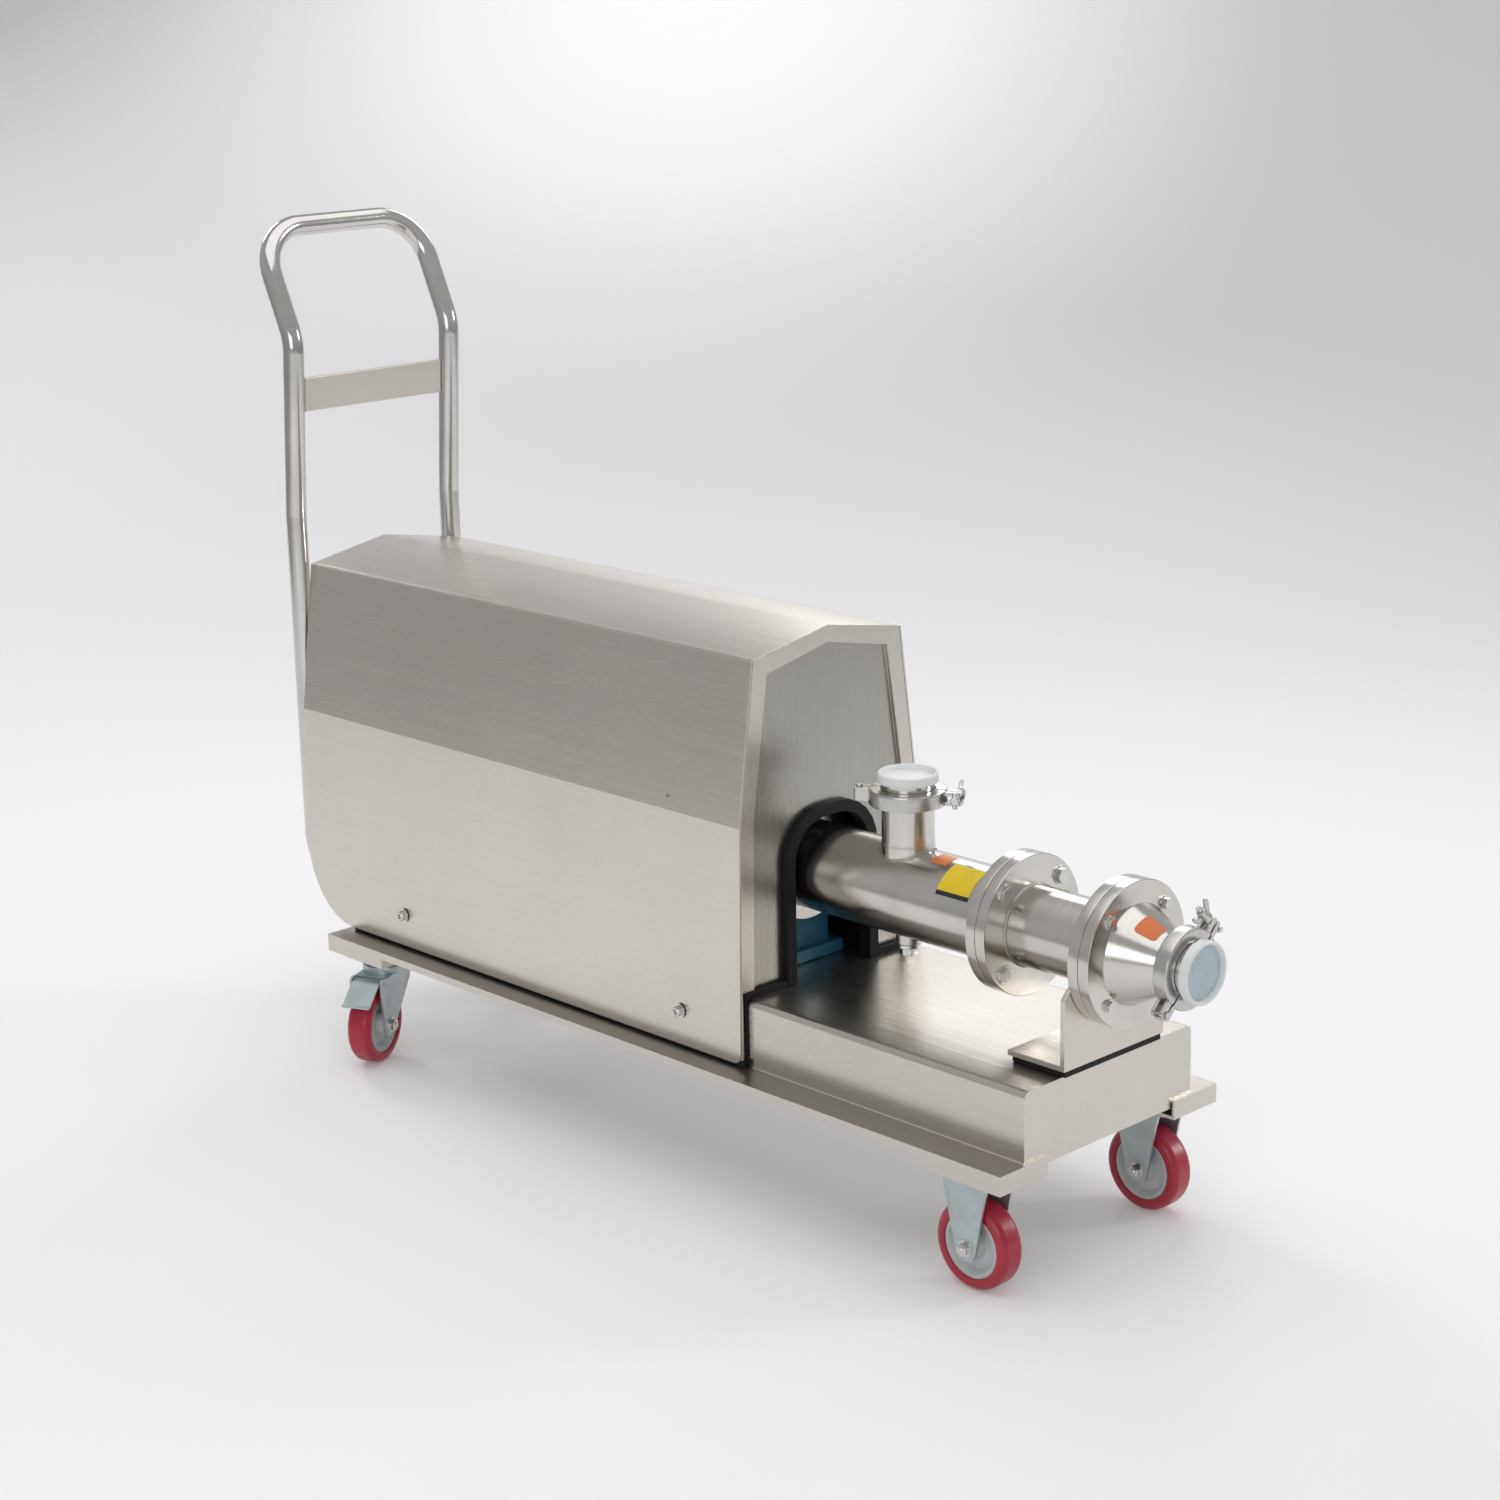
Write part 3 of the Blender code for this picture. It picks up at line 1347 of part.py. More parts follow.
def electric_motor():
    """Ribbed motor frame with end shields, shaft tunnel and a flange."""
    front = gear_front_x - gear_length - gap
    back = front - motor_length
    tunnel = 0.0145 + gap
    frame = turned("motor_frame", [
        (front, tunnel), (front, 0.078), (front - 0.012, 0.078),
        (front - 0.020, motor_radius - 0.010),
        (back + 0.014, motor_radius - 0.010), (back + 0.008, 0.060),
        (back, 0.056), (back, tunnel)], 24)
    on_axis(frame, "blue_paint")
    for index in range(motor_ribs):
        angle = 360 * (index + 0.5) / motor_ribs
        if 60 < angle < 120:
            continue
        rib = box(f"motor_rib_{index}", (back + 0.020, -0.0016, 0.070),
                  (front - 0.026, 0.0016, motor_radius))
        rib.location = (0, 0, pump_z)
        rib.rotation_euler = (math.radians(angle - 90), 0, 0)
        join(frame, rib)
    foot = box("motor_foot", (back + 0.05, -0.080, platform_z + gap),
               (front - 0.05, 0.080, pump_z - 0.070), 0.003)
    neck = box("motor_neck", (back + 0.06, -0.030, pump_z + 0.060),
               (front - 0.07, 0.030, pump_z + motor_radius + 0.004))
    join(frame, foot, neck)
    hold(frame, trolley)
    lid = box("terminal_box", (back + 0.048, -0.045, pump_z + motor_radius
                               + 0.004 + gap),
              (front - 0.058, 0.045, pump_z + motor_radius + 0.052), 0.006)
    place(lid, "blue_paint")


def fan_cowl():
    """Sheet cowl over the fan, its rear face pierced for the air."""
    front = gear_front_x - gear_length - gap - motor_length + 0.016
    back = front - cowl_length
    outer = motor_radius - 0.0085
    cowl = turned("fan_cowl", [
        (front, outer - 0.0015), (front, outer), (back + 0.012, outer),
        (back + 0.003, outer - 0.008), (back, outer - 0.016),
        (back, 0.008), (back + 0.0015, 0.008), (back + 0.0015, outer - 0.017),
        (back + 0.0135, outer - 0.0015)], 24)
    on_axis(cowl, "blue_paint")
    for index in range(6):
        angle = 2 * math.pi * (index + 0.5) / 6
        slot = box(f"cowl_slot_{index}", (back - 0.01, -0.006, 0.022),
                   (back + 0.01, 0.006, outer - 0.022))
        slot.location = (0, 0, pump_z)
        slot.rotation_euler = (angle, 0, 0)
        cut(cowl, slot)
    hold(cowl, trolley)


def motor_shaft():
    """Motor shaft with its fan, turning on the pump line."""
    front = gear_front_x - gear_length - gap + 0.030
    back = gear_front_x - gear_length - gap - motor_length
    spin = empty("motor_axis", (back, 0, pump_z), trolley)
    shaft = cylinder("motor_shaft", 0.0145, (-0.040, 0, 0),
                     front - back + 0.040, "X", 16)
    place(shaft, "dark_steel", spin)
    hub = cylinder("fan_hub", 0.024, (-0.046, 0, 0), 0.026, "X", 16)
    join(shaft, hub)
    for index in range(6):
        blade = box(f"fan_blade_{index}", (-0.046, -0.0012, 0.018),
                    (-0.022, 0.0012, motor_radius - 0.020))
        blade.rotation_euler = (2 * math.pi * index / 6, 0, 0)
        join(shaft, blade)
    hold(shaft, spin)


def drive_shaft():
    """Output shaft from the gear unit through the seal to the rod joint."""
    back = gear_front_x - 0.040
    spin = empty("shaft_axis", (back, 0, pump_z), trolley)
    length = joint_rear_x - joint_play - back
    shaft = turned("drive_shaft", [
        (length, 0.0), (length, 0.0125), (length - 0.004, 0.0145),
        (length - 0.030, 0.0145), (length - 0.034, shaft_radius),
        (0.002, shaft_radius), (0.0, shaft_radius - 0.002), (0.0, 0.0)], 16)
    collar = ring("shaft_collar", gear_front_x + 0.030 - back,
                  gear_front_x + 0.052 - back, shaft_radius - 0.001, 0.030, 16)
    join(shaft, collar)
    place(shaft, "dark_steel", spin, (0, 0, 0), (0, math.pi / 2, 0))
    collar.rotation_euler = (0, math.pi / 2, 0)


def shaft_seal():
    """Rotating and fixed rings of the mechanical seal."""
    spin = bpy.data.objects["shaft_axis"]
    start = casing_rear_x + 0.012
    back = gear_front_x - 0.040
    face = ring("seal_ring_rotating", start + gap - back, start + 0.026 - back,
                shaft_radius + gap, 0.0285, 16)
    place(face, "dark_steel", spin, (0, 0, 0), (0, math.pi / 2, 0))
    seat = ring("seal_ring_fixed", casing_rear_x + gap, start,
                shaft_radius + gap, shaft_radius + seal_room - gap)
    on_axis(seat, "white_seal")


def build():
    base_tray()
    handle()
    hood()
    hood_rubber()
    for side in (-1, 1):
        side_panel(side)
        for index in range(len(panel_screw_x)):
            panel_screw(side, index)
    rigid_caster("near", -caster_y)
    rigid_caster("far", caster_y)
    swivel_caster("near", -caster_y, near_turn)
    swivel_caster("far", caster_y, far_turn)
    suction_casing()
    drain_plug()
    stator_tube()
    stator_liner()
    orbit = orbit_holder()
    rotor(orbit)
    rod(orbit)
    joint_sleeve(orbit)
    discharge_cone()
    support_bracket()
    for tag, frame in port_frames().items():
        port_set(tag, frame)
    gear_unit()
    bearing_bracket()
    electric_motor()
    fan_cowl()
    motor_shaft()
    drive_shaft()
    shaft_seal()


build()
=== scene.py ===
import json
import math

import bpy
from mathutils import Matrix, Vector


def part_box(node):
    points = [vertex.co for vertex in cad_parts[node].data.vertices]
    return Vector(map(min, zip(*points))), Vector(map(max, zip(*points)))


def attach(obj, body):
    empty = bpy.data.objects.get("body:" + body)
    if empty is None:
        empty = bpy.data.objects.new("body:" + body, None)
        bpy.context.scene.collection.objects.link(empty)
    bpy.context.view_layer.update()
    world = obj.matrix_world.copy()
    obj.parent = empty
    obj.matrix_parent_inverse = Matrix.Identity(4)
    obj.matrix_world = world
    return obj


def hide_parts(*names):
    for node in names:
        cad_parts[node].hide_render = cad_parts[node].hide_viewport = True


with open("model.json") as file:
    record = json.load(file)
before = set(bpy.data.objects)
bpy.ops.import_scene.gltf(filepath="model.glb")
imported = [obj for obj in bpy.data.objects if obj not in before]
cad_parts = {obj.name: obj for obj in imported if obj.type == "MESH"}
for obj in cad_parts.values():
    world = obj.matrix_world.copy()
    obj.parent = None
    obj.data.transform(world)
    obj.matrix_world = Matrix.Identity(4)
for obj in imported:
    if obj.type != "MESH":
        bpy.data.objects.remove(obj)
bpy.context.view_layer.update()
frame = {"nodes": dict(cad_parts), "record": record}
homeBody = {node: body
            for body, members in frame["record"]["behaviour"]["bodies"].items()
            for node in members}

# Pieces are laid out from the tray's rear edge and its middle plane
trayLow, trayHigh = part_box("base_tray")
layoutOffset = Vector((trayLow.x, (trayLow.y + trayHigh.y) / 2, 0))
tubeLow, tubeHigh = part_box("stator_tube")
pumpZ = (tubeLow.z + tubeHigh.z) / 2

# hairline is the gap between touching pieces, and poleTip stands in for a radius of zero
hairline = 0.0003
poleTip = 0.00001
mergeDistance = 0.00002
flatTurn = math.radians(0.4)


# Small tools

def clearSelection():
    active = bpy.context.view_layer.objects.active
    if active and active.mode != "OBJECT":
        bpy.ops.object.mode_set(mode="OBJECT")
    bpy.ops.object.select_all(action="DESELECT")


def newObject(name, data):
    piece = bpy.data.objects.new(name, data)
    bpy.context.scene.collection.objects.link(piece)
    return piece


def pick(*pieces):
    clearSelection()
    for piece in pieces:
        piece.select_set(True)
    bpy.context.view_layer.objects.active = pieces[0]


def applyModifier(piece, kind, **settings):
    pick(piece)
    modifier = piece.modifiers.new(kind.lower(), kind)
    for key, value in settings.items():
        setattr(modifier, key, value)
    bpy.ops.object.modifier_apply(modifier=modifier.name)
    return piece


def softenEdges(piece, width, segments=2, angle=30):
    return applyModifier(piece, "BEVEL", width=width, segments=segments,
                         limit_method="ANGLE", angle_limit=math.radians(angle))


def bakePlace(piece, place=(0, 0, 0), turn=(0, 0, 0)):
    pick(piece)
    piece.location = place
    piece.rotation_euler = turn
    bpy.ops.object.transform_apply(location=True, rotation=True, scale=True)
    return piece


def editAll():
    bpy.ops.object.mode_set(mode="EDIT")
    bpy.ops.mesh.select_all(action="SELECT")


def fixNormals(piece):
    pick(piece)
    editAll()
    bpy.ops.mesh.remove_doubles(threshold=3 * poleTip)
    bpy.ops.mesh.normals_make_consistent(inside=False)
    bpy.ops.object.mode_set(mode="OBJECT")
    return piece


axisTurns = {"X": (0, math.pi / 2, 0), "Y": (-math.pi / 2, 0, 0), "Z": (0, 0, 0)}


# profile holds (along, radius); a ring is closed by repeating its first point
def turnedPiece(name, profile, centre=(0, 0, 0), axis="X", sides=96):
    clearSelection()
    along, radius = profile[0]
    bpy.ops.mesh.primitive_circle_add(vertices=sides, radius=max(radius, poleTip),
                                      location=(0, 0, along))
    piece = bpy.context.active_object
    piece.name = name
    bpy.ops.object.transform_apply(location=True, rotation=True, scale=True)
    editAll()
    for before, after in zip(profile, profile[1:]):
        rise = (0, 0, after[0] - before[0])
        bpy.ops.mesh.extrude_region_move(TRANSFORM_OT_translate={"value": rise})
        grow = max(after[1], poleTip) / max(before[1], poleTip)
        bpy.ops.transform.resize(value=(grow, grow, 1), center_override=(0, 0, 0))
    bpy.ops.object.mode_set(mode="OBJECT")
    fixNormals(piece)
    return bakePlace(piece, centre, axisTurns[axis])


# A mesh from a curve that runs through the points
def curvePiece(name, curve, points, closed=False):
    spline = curve.splines.new("POLY")
    spline.points.add(len(points) - 1)
    for spot, point in zip(spline.points, points):
        spot.co = (*point, 1)
    spline.use_cyclic_u = closed
    pick(newObject(name, curve))
    bpy.ops.object.convert(target="MESH")
    piece = bpy.context.active_object
    piece.name = name
    return fixNormals(piece)


def sweptPiece(name, points, radius, rounds=8):
    curve = bpy.data.curves.new(name + "Path", "CURVE")
    curve.dimensions = "3D"
    curve.bevel_depth = radius
    curve.bevel_resolution = rounds
    curve.use_fill_caps = True
    return curvePiece(name, curve, points)


# A flat closed outline in X and Y, with depth from low to high
def outlinePiece(name, outline, low, high, edge, place=(0, 0, 0), turn=(0, 0, 0)):
    curve = bpy.data.curves.new(name + "Outline", "CURVE")
    curve.dimensions = "2D"
    curve.fill_mode = "BOTH"
    curve.extrude = (high - low) / 2
    piece = curvePiece(name, curve, [(u, v, 0) for u, v in outline], closed=True)
    bakePlace(piece, (0, 0, (low + high) / 2))
    softenEdges(piece, edge)
    return bakePlace(piece, place, turn)


def joinPieces(name, first, *others):
    pick(first, *others)
    bpy.ops.object.join()
    first.name = name
    return first


# A CAD node's shape as one welded mesh that edges can be rounded on
def mergedCopy(node, name):
    piece = newObject(name, frame["nodes"][node].data.copy())
    pick(piece)
    editAll()
    bpy.ops.mesh.remove_doubles(threshold=mergeDistance)
    bpy.ops.mesh.dissolve_limited(angle_limit=flatTurn)
    bpy.ops.object.mode_set(mode="OBJECT")
    return piece


# Points on an arc from start to end, in degrees
def arcPoints(centre, radius, start, end, steps):
    points = []
    for i in range(steps + 1):
        angle = math.radians(start + (end - start) * i / steps)
        points.append((centre[0] + radius * math.cos(angle),
                       centre[1] + radius * math.sin(angle)))
    return points


# Points on the arc that rounds one corner of a path
def cornerPoints(before, corner, after, radius, steps):
    back = (Vector(before) - Vector(corner)).normalized()
    ahead = (Vector(after) - Vector(corner)).normalized()
    half = back.angle(ahead) / 2
    reach = radius / math.tan(half)
    centre = Vector(corner) + (back + ahead).normalized() * (radius / math.sin(half))
    start = Vector(corner) + back * reach - centre
    finish = Vector(corner) + ahead * reach - centre
    normal = start.cross(finish).normalized()
    return [centre + Matrix.Rotation(start.angle(finish) * i / steps, 3, normal) @ start
            for i in range(steps + 1)]


# Moves a finished piece into the frame and hangs it on its body
def settle(piece, finish, node=None, body=None, smooth=35, laidOut=True):
    if laidOut:
        bakePlace(piece, layoutOffset)
    pick(piece)
    bpy.ops.object.shade_smooth_by_angle(angle=math.radians(smooth))
    applyModifier(piece, "WEIGHTED_NORMAL", keep_sharp=True, weight=100)
    piece.data.materials.clear()
    piece.data.materials.append(materials[finish])
    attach(piece, body or homeBody[node])
    if node:
        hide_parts(node)
    return piece


# A piece that adds to the trolley and stands for no node
def settleTrim(piece, finish):
    return settle(piece, finish, body="trolley")


# The CAD shape of a node with its edges rounded
def refine(node, finish, edge, segments=2, smooth=35):
    piece = mergedCopy(node, "fine_" + node)
    if edge:
        softenEdges(piece, edge, segments)
    return settle(piece, finish, node, smooth=smooth, laidOut=False)


# Materials

def addNode(tree, kind, values=None, **settings):
    node = tree.nodes.new("ShaderNode" + kind)
    for key, value in settings.items():
        setattr(node, key, value)
    for socket, value in (values or {}).items():
        node.inputs[socket].default_value = value
    return node


# Each link is (from node, its output, to node, its input)
def addLinks(tree, *links):
    for source, output, target, socket in links:
        tree.links.new(source.outputs[output], target.inputs[socket])


def newGroup(name, inputs, output):
    group = bpy.data.node_groups.new(name, "ShaderNodeTree")
    for label, kind, value in inputs:
        socket = group.interface.new_socket(name=label, in_out="INPUT", socket_type=kind)
        socket.default_value = value
    group.interface.new_socket(name=output, in_out="OUTPUT", socket_type="NodeSocketFloat")
    return group, group.nodes.new("NodeGroupInput"), group.nodes.new("NodeGroupOutput")


# Fine streaks along the direction in which the stretch is smallest
def grainGroup():
    group, start, end = newGroup(
        "sheetGrain", [("Stretch", "NodeSocketVector", (1.0, 1.0, 1.0)),
                       ("Detail", "NodeSocketFloat", 3.0)], "Mask")
    spot = addNode(group, "TexCoord")
    stretch = addNode(group, "VectorMath", operation="MULTIPLY")
    noise = addNode(group, "TexNoise", {"Scale": 1.0, "Roughness": 0.6})
    addLinks(group, (spot, "Object", stretch, 0), (start, "Stretch", stretch, 1),
             (stretch, "Vector", noise, "Vector"), (start, "Detail", noise, "Detail"),
             (noise, "Fac", end, "Mask"))
    return group


# Broad soft patches, as of wiping marks, dust or uneven colour
def patchGroup():
    group, start, end = newGroup(
        "softPatches", [("Scale", "NodeSocketFloat", 8.0), ("Low", "NodeSocketFloat", 0.35),
                        ("High", "NodeSocketFloat", 0.7)], "Mask")
    spot = addNode(group, "TexCoord")
    noise = addNode(group, "TexNoise", {"Detail": 4.0})
    spread = addNode(group, "MapRange")
    addLinks(group, (spot, "Object", noise, "Vector"), (start, "Scale", noise, "Scale"),
             (noise, "Fac", spread, "Value"), (start, "Low", spread, "From Min"),
             (start, "High", spread, "From Max"), (spread, "Result", end, "Mask"))
    return group


sheetGrain = grainGroup()
softPatches = patchGroup()


# One Principled shader with grain in its roughness and patches in its colour
def finishMaterial(name, look):
    material = bpy.data.materials.new(name)
    material.use_nodes = True
    tree = material.node_tree
    shader = tree.nodes["Principled BSDF"]
    shader.inputs["Metallic"].default_value = look.get("metallic", 0.0)
    for socket, value in look.get("sockets", {}).items():
        shader.inputs[socket].default_value = value
    stretch = look["stretch"]
    if not isinstance(stretch, tuple):
        stretch = (stretch, stretch, stretch)
    grain = addNode(tree, "Group", {"Stretch": stretch}, node_tree=sheetGrain)
    patches = addNode(tree, "Group", {"Scale": look["patchScale"]}, node_tree=softPatches)
    shade = look.get("shade", 0.9)
    colour = addNode(tree, "Mix", {
        "A": (*look["colour"], 1), "B": (*[c * shade for c in look["colour"]], 1)},
        data_type="RGBA")
    low, high = look["roughness"]
    gloss = addNode(tree, "MapRange", {"From Min": 0.3, "From Max": 0.7,
                                       "To Min": low, "To Max": high})
    relief = addNode(tree, "Bump", {"Strength": look["relief"],
                                    "Distance": look.get("depth", 0.0003)})
    addLinks(tree, (patches, "Mask", colour, "Factor"), (colour, "Result", shader, "Base Color"),
             (grain, "Mask", gloss, "Value"), (gloss, "Result", shader, "Roughness"),
             (grain, "Mask", relief, "Height"), (relief, "Normal", shader, "Normal"))
    return material


filmGrain = {"stretch": 200.0, "relief": 0.03, "patchScale": 50.0}

# One stretch number means a grain that is even in all directions
looks = {
    "brushedSheet": {
        "colour": (0.67, 0.63, 0.575), "metallic": 1.0, "roughness": (0.24, 0.36),
        "stretch": (3.0, 1400.0, 1400.0), "relief": 0.035, "shade": 0.94, "patchScale": 4.0},
    "trayTop": {
        "colour": (0.66, 0.62, 0.57), "metallic": 1.0, "roughness": (0.20, 0.32),
        "stretch": (4.0, 1300.0, 1300.0), "relief": 0.035, "shade": 0.93, "patchScale": 5.0},
    # A darker, rougher copy of the tray steel for the deck's top: the darker colour is painted
    # shade that dims a bright reflection
    "shadedDeckSteel": {
        "colour": (0.55, 0.52, 0.48), "metallic": 1.0, "roughness": (0.24, 0.40),
        "stretch": (4.0, 1300.0, 1300.0), "relief": 0.035, "shade": 0.90, "patchScale": 7.0},
    "panelSteel": {
        "colour": (0.70, 0.66, 0.60), "metallic": 1.0, "roughness": (0.20, 0.30),
        "stretch": (2.5, 1400.0, 1400.0), "relief": 0.03, "shade": 0.95, "patchScale": 5.0},
    # A darker copy of the sheet steel with upright grain: the grain is the plate's own, the
    # darkness is painted shade for the recessed front plate
    "shadedPlateSteel": {
        "colour": (0.44, 0.425, 0.39), "metallic": 1.0, "roughness": (0.24, 0.34),
        "stretch": (1400.0, 1400.0, 3.0), "relief": 0.03, "shade": 0.90, "patchScale": 4.0},
    "tubeSteel": {
        "colour": (0.66, 0.64, 0.61), "metallic": 1.0, "roughness": (0.09, 0.16),
        "stretch": (300.0, 300.0, 12.0), "relief": 0.04, "patchScale": 14.0},
    "turnedSteel": {
        "colour": (0.68, 0.655, 0.615), "metallic": 1.0, "roughness": (0.14, 0.24),
        "stretch": (900.0, 14.0, 14.0), "relief": 0.08, "patchScale": 18.0},
    "portSteel": {
        "colour": (0.67, 0.655, 0.63), "metallic": 1.0, "roughness": (0.11, 0.21),
        "stretch": (14.0, 14.0, 900.0), "relief": 0.06, "patchScale": 18.0},
    "castSteel": {
        "colour": (0.62, 0.605, 0.58), "metallic": 1.0, "roughness": (0.20, 0.34),
        "stretch": 160.0, "relief": 0.18, "patchScale": 30.0},
    "boltSteel": {
        "colour": (0.70, 0.69, 0.67), "metallic": 1.0, "roughness": (0.10, 0.22),
        "stretch": 260.0, "relief": 0.08, "patchScale": 60.0},
    "weldSteel": {
        "colour": (0.50, 0.47, 0.43), "metallic": 1.0, "roughness": (0.32, 0.48),
        "stretch": 700.0, "relief": 0.5, "patchScale": 90.0},
    "zincSteel": {
        "colour": (0.53, 0.60, 0.61), "metallic": 0.75, "roughness": (0.30, 0.44),
        "stretch": 90.0, "relief": 0.05, "patchScale": 40.0, "shade": 0.85},
    "redTread": {
        "colour": (0.46, 0.010, 0.040), "roughness": (0.28, 0.42), "stretch": 120.0,
        "relief": 0.08, "patchScale": 30.0, "shade": 0.82,
        "sockets": {"Coat Weight": 0.25, "Coat Roughness": 0.2}},
    "greyHub": {
        "colour": (0.60, 0.63, 0.63), "roughness": (0.42, 0.55), "stretch": 200.0, "relief": 0.05,
        "patchScale": 40.0},
    "blackRubber": {
        "colour": (0.006, 0.006, 0.007), "roughness": (0.50, 0.64), "stretch": 500.0,
        "relief": 0.15, "patchScale": 25.0, "shade": 0.7, "sockets": {"Specular IOR Level": 0.3}},
    "capPlastic": {
        "colour": (0.86, 0.88, 0.88), "roughness": (0.30, 0.42), "stretch": 90.0, "relief": 0.04,
        "patchScale": 30.0, "shade": 0.95,
        "sockets": {"Subsurface Weight": 0.15, "Subsurface Scale": 0.004}},
    "capFilm": {
        "colour": (0.50, 0.63, 0.68), "roughness": (0.18, 0.32), "stretch": 60.0, "relief": 0.10,
        "depth": 0.0012, "patchScale": 40.0, "shade": 0.85, "sockets": {"Coat Weight": 0.4}},
    "bluePaint": {
        "colour": (0.030, 0.185, 0.290), "roughness": (0.34, 0.50), "stretch": 350.0,
        "relief": 0.16, "patchScale": 22.0, "shade": 0.75},
    "sealWhite": {
        "colour": (0.84, 0.83, 0.79), "roughness": (0.40, 0.50), "stretch": 200.0, "relief": 0.05,
        "patchScale": 60.0},
    "darkSteel": {
        "colour": (0.34, 0.34, 0.35), "metallic": 1.0, "roughness": (0.22, 0.36),
        "stretch": (700.0, 14.0, 14.0), "relief": 0.08, "patchScale": 30.0},
    "yellowFilm": {"colour": (0.86, 0.62, 0.015), "roughness": (0.30, 0.42), **filmGrain},
    "blackFilm": {"colour": (0.020, 0.020, 0.022), "roughness": (0.32, 0.45), **filmGrain},
    "orangeFilm": {"colour": (0.80, 0.20, 0.045), "roughness": (0.30, 0.42), **filmGrain},
}
materials = {name: finishMaterial(name, look) for name, look in looks.items()}
print("materials made:", len(materials))


# Cover, tray and handle

panelFoot = {"drop": 0.0042, "blend": 0.030, "sealFace": 0.1458}
coverEdges = {"hood": 0.0018, "panels": 0.0012, "tray": 0.0010, "bracket": 0.0010,
              "rubber": 0.0009, "pad": 0.0012, "crossbar": 0.0012}
facing = 0.9
lipDepth = 0.003


# The recessed plate behind the hood's front lip has a grain of its own, and a darker colour that
# is painted shade in the recess
def makeCover():
    hood = refine("hood", "brushedSheet", coverEdges["hood"], 3)
    hood.data.materials.append(materials["shadedPlateSteel"])
    front = max(point.co.x for point in hood.data.vertices)
    for face in hood.data.polygons:
        if face.normal.x > facing and face.center.x < front - lipDepth:
            face.material_index = 1
    for side in ("near", "far"):
        panel = refine("side_panel_" + side, "panelSteel", coverEdges["panels"], smooth=3)
        foot = min(point.co.z for point in panel.data.vertices)
        for point in panel.data.vertices:
            near = 1 - (point.co.z - foot) / panelFoot["blend"]
            point.co.z -= panelFoot["drop"] * max(0.0, near)
    seal = refine("hood_rubber", "blackRubber", coverEdges["rubber"])
    for point in seal.data.vertices:
        beyond = abs(point.co.y - layoutOffset.y) - panelFoot["sealFace"]
        if beyond > 0:
            point.co.y -= math.copysign(beyond, point.co.y - layoutOffset.y)


def makeTray():
    tray = refine("base_tray", "trayTop", coverEdges["tray"], 3)
    # The top faces get a second, darker steel: painted shade that dims the deck's reflection
    tray.data.materials.append(materials["shadedDeckSteel"])
    for face in tray.data.polygons:
        if face.normal.z > facing:
            face.material_index = 1
    refine("support_bracket", "brushedSheet", coverEdges["bracket"])
    refine("bracket_pad_rubber", "blackRubber", coverEdges["pad"])


handleSizes = {
    "radius": 0.0131, "halfWidth": 0.124, "entryX": 0.0037, "legX": -0.094,
    "entryZ": 0.200, "bendZ": 0.680, "lowX": -0.078, "lowZ": 0.905,
    "topX": -0.140, "topZ": 1.040, "corner": 0.062, "cornerSteps": 14,
    "barLow": 0.813, "barHigh": 0.856, "barFace": 0.0036, "bead": 0.0022, "beadLift": 0.0006,
}


def makeHandle():
    h = handleSizes
    nearY = -h["halfWidth"]
    knots = [(h["entryX"], nearY, h["entryZ"]), (h["legX"], nearY, h["entryZ"]),
             (h["legX"], nearY, h["bendZ"]), (h["lowX"], nearY, h["lowZ"]),
             (h["topX"], nearY, h["topZ"])]
    knots += [(x, -y, z) for x, y, z in reversed(knots)]
    route = [knots[0]]
    for before, corner, after in zip(knots, knots[1:], knots[2:]):
        route += cornerPoints(before, corner, after, h["corner"], h["cornerSteps"])
    route.append(knots[-1])
    tube = sweptPiece("handleTube", route, h["radius"])
    settle(tube, "tubeSteel", "handle_tube")
    refine("handle_crossbar", "brushedSheet", coverEdges["crossbar"])
    lean = (h["lowX"] - h["legX"]) / (h["lowZ"] - h["bendZ"])
    middleZ = (h["barLow"] + h["barHigh"]) / 2
    middleX = h["legX"] + lean * (middleZ - h["bendZ"])
    half = (h["barHigh"] - h["barLow"]) / 2
    for side, tag in ((-1, "near"), (1, "far")):
        y = side * (h["halfWidth"] - h["radius"] + h["beadLift"])
        beads = []
        for face in (-1, 1):
            points = [(middleX + face * h["barFace"] + lean * z, y, middleZ + z)
                      for z in (-half, -half / 2, 0, half / 2, half)]
            beads.append(sweptPiece(f"barBead{tag}{face}", points, h["bead"], 3))
        settleTrim(joinPieces("barWeld_" + tag, *beads), "weldSteel")


panelHole = {"place": (0.617, 0.449), "radius": 0.0016, "face": 0.1420,
             "lean": math.atan2(0.025, 0.187)}


# A small bare screw hole that shows near the front of the near panel
def makePanelHole():
    h = panelHole
    hole = turnedPiece("panelHole", [
        (0.0, 0.0), (0.0, h["radius"] * 1.4), (0.0003, h["radius"] * 1.3),
        (0.0001, h["radius"]), (0.0001, 0.0)], axis="Z", sides=24)
    x, z = h["place"]
    bakePlace(hole, (x, -h["face"], z), (math.pi / 2 - h["lean"], 0, 0))
    settleTrim(hole, "darkSteel")


capScrew = {"face": 0.1494, "washer": 0.0088, "washerSheet": 0.0012, "head": 0.0062,
            "height": 0.0075, "edge": 0.0009, "socket": 0.0030, "socketDepth": 0.0032,
            "shank": 0.0034, "shankDepth": 0.012, "spots": (0.123, 0.636), "z": 0.198}


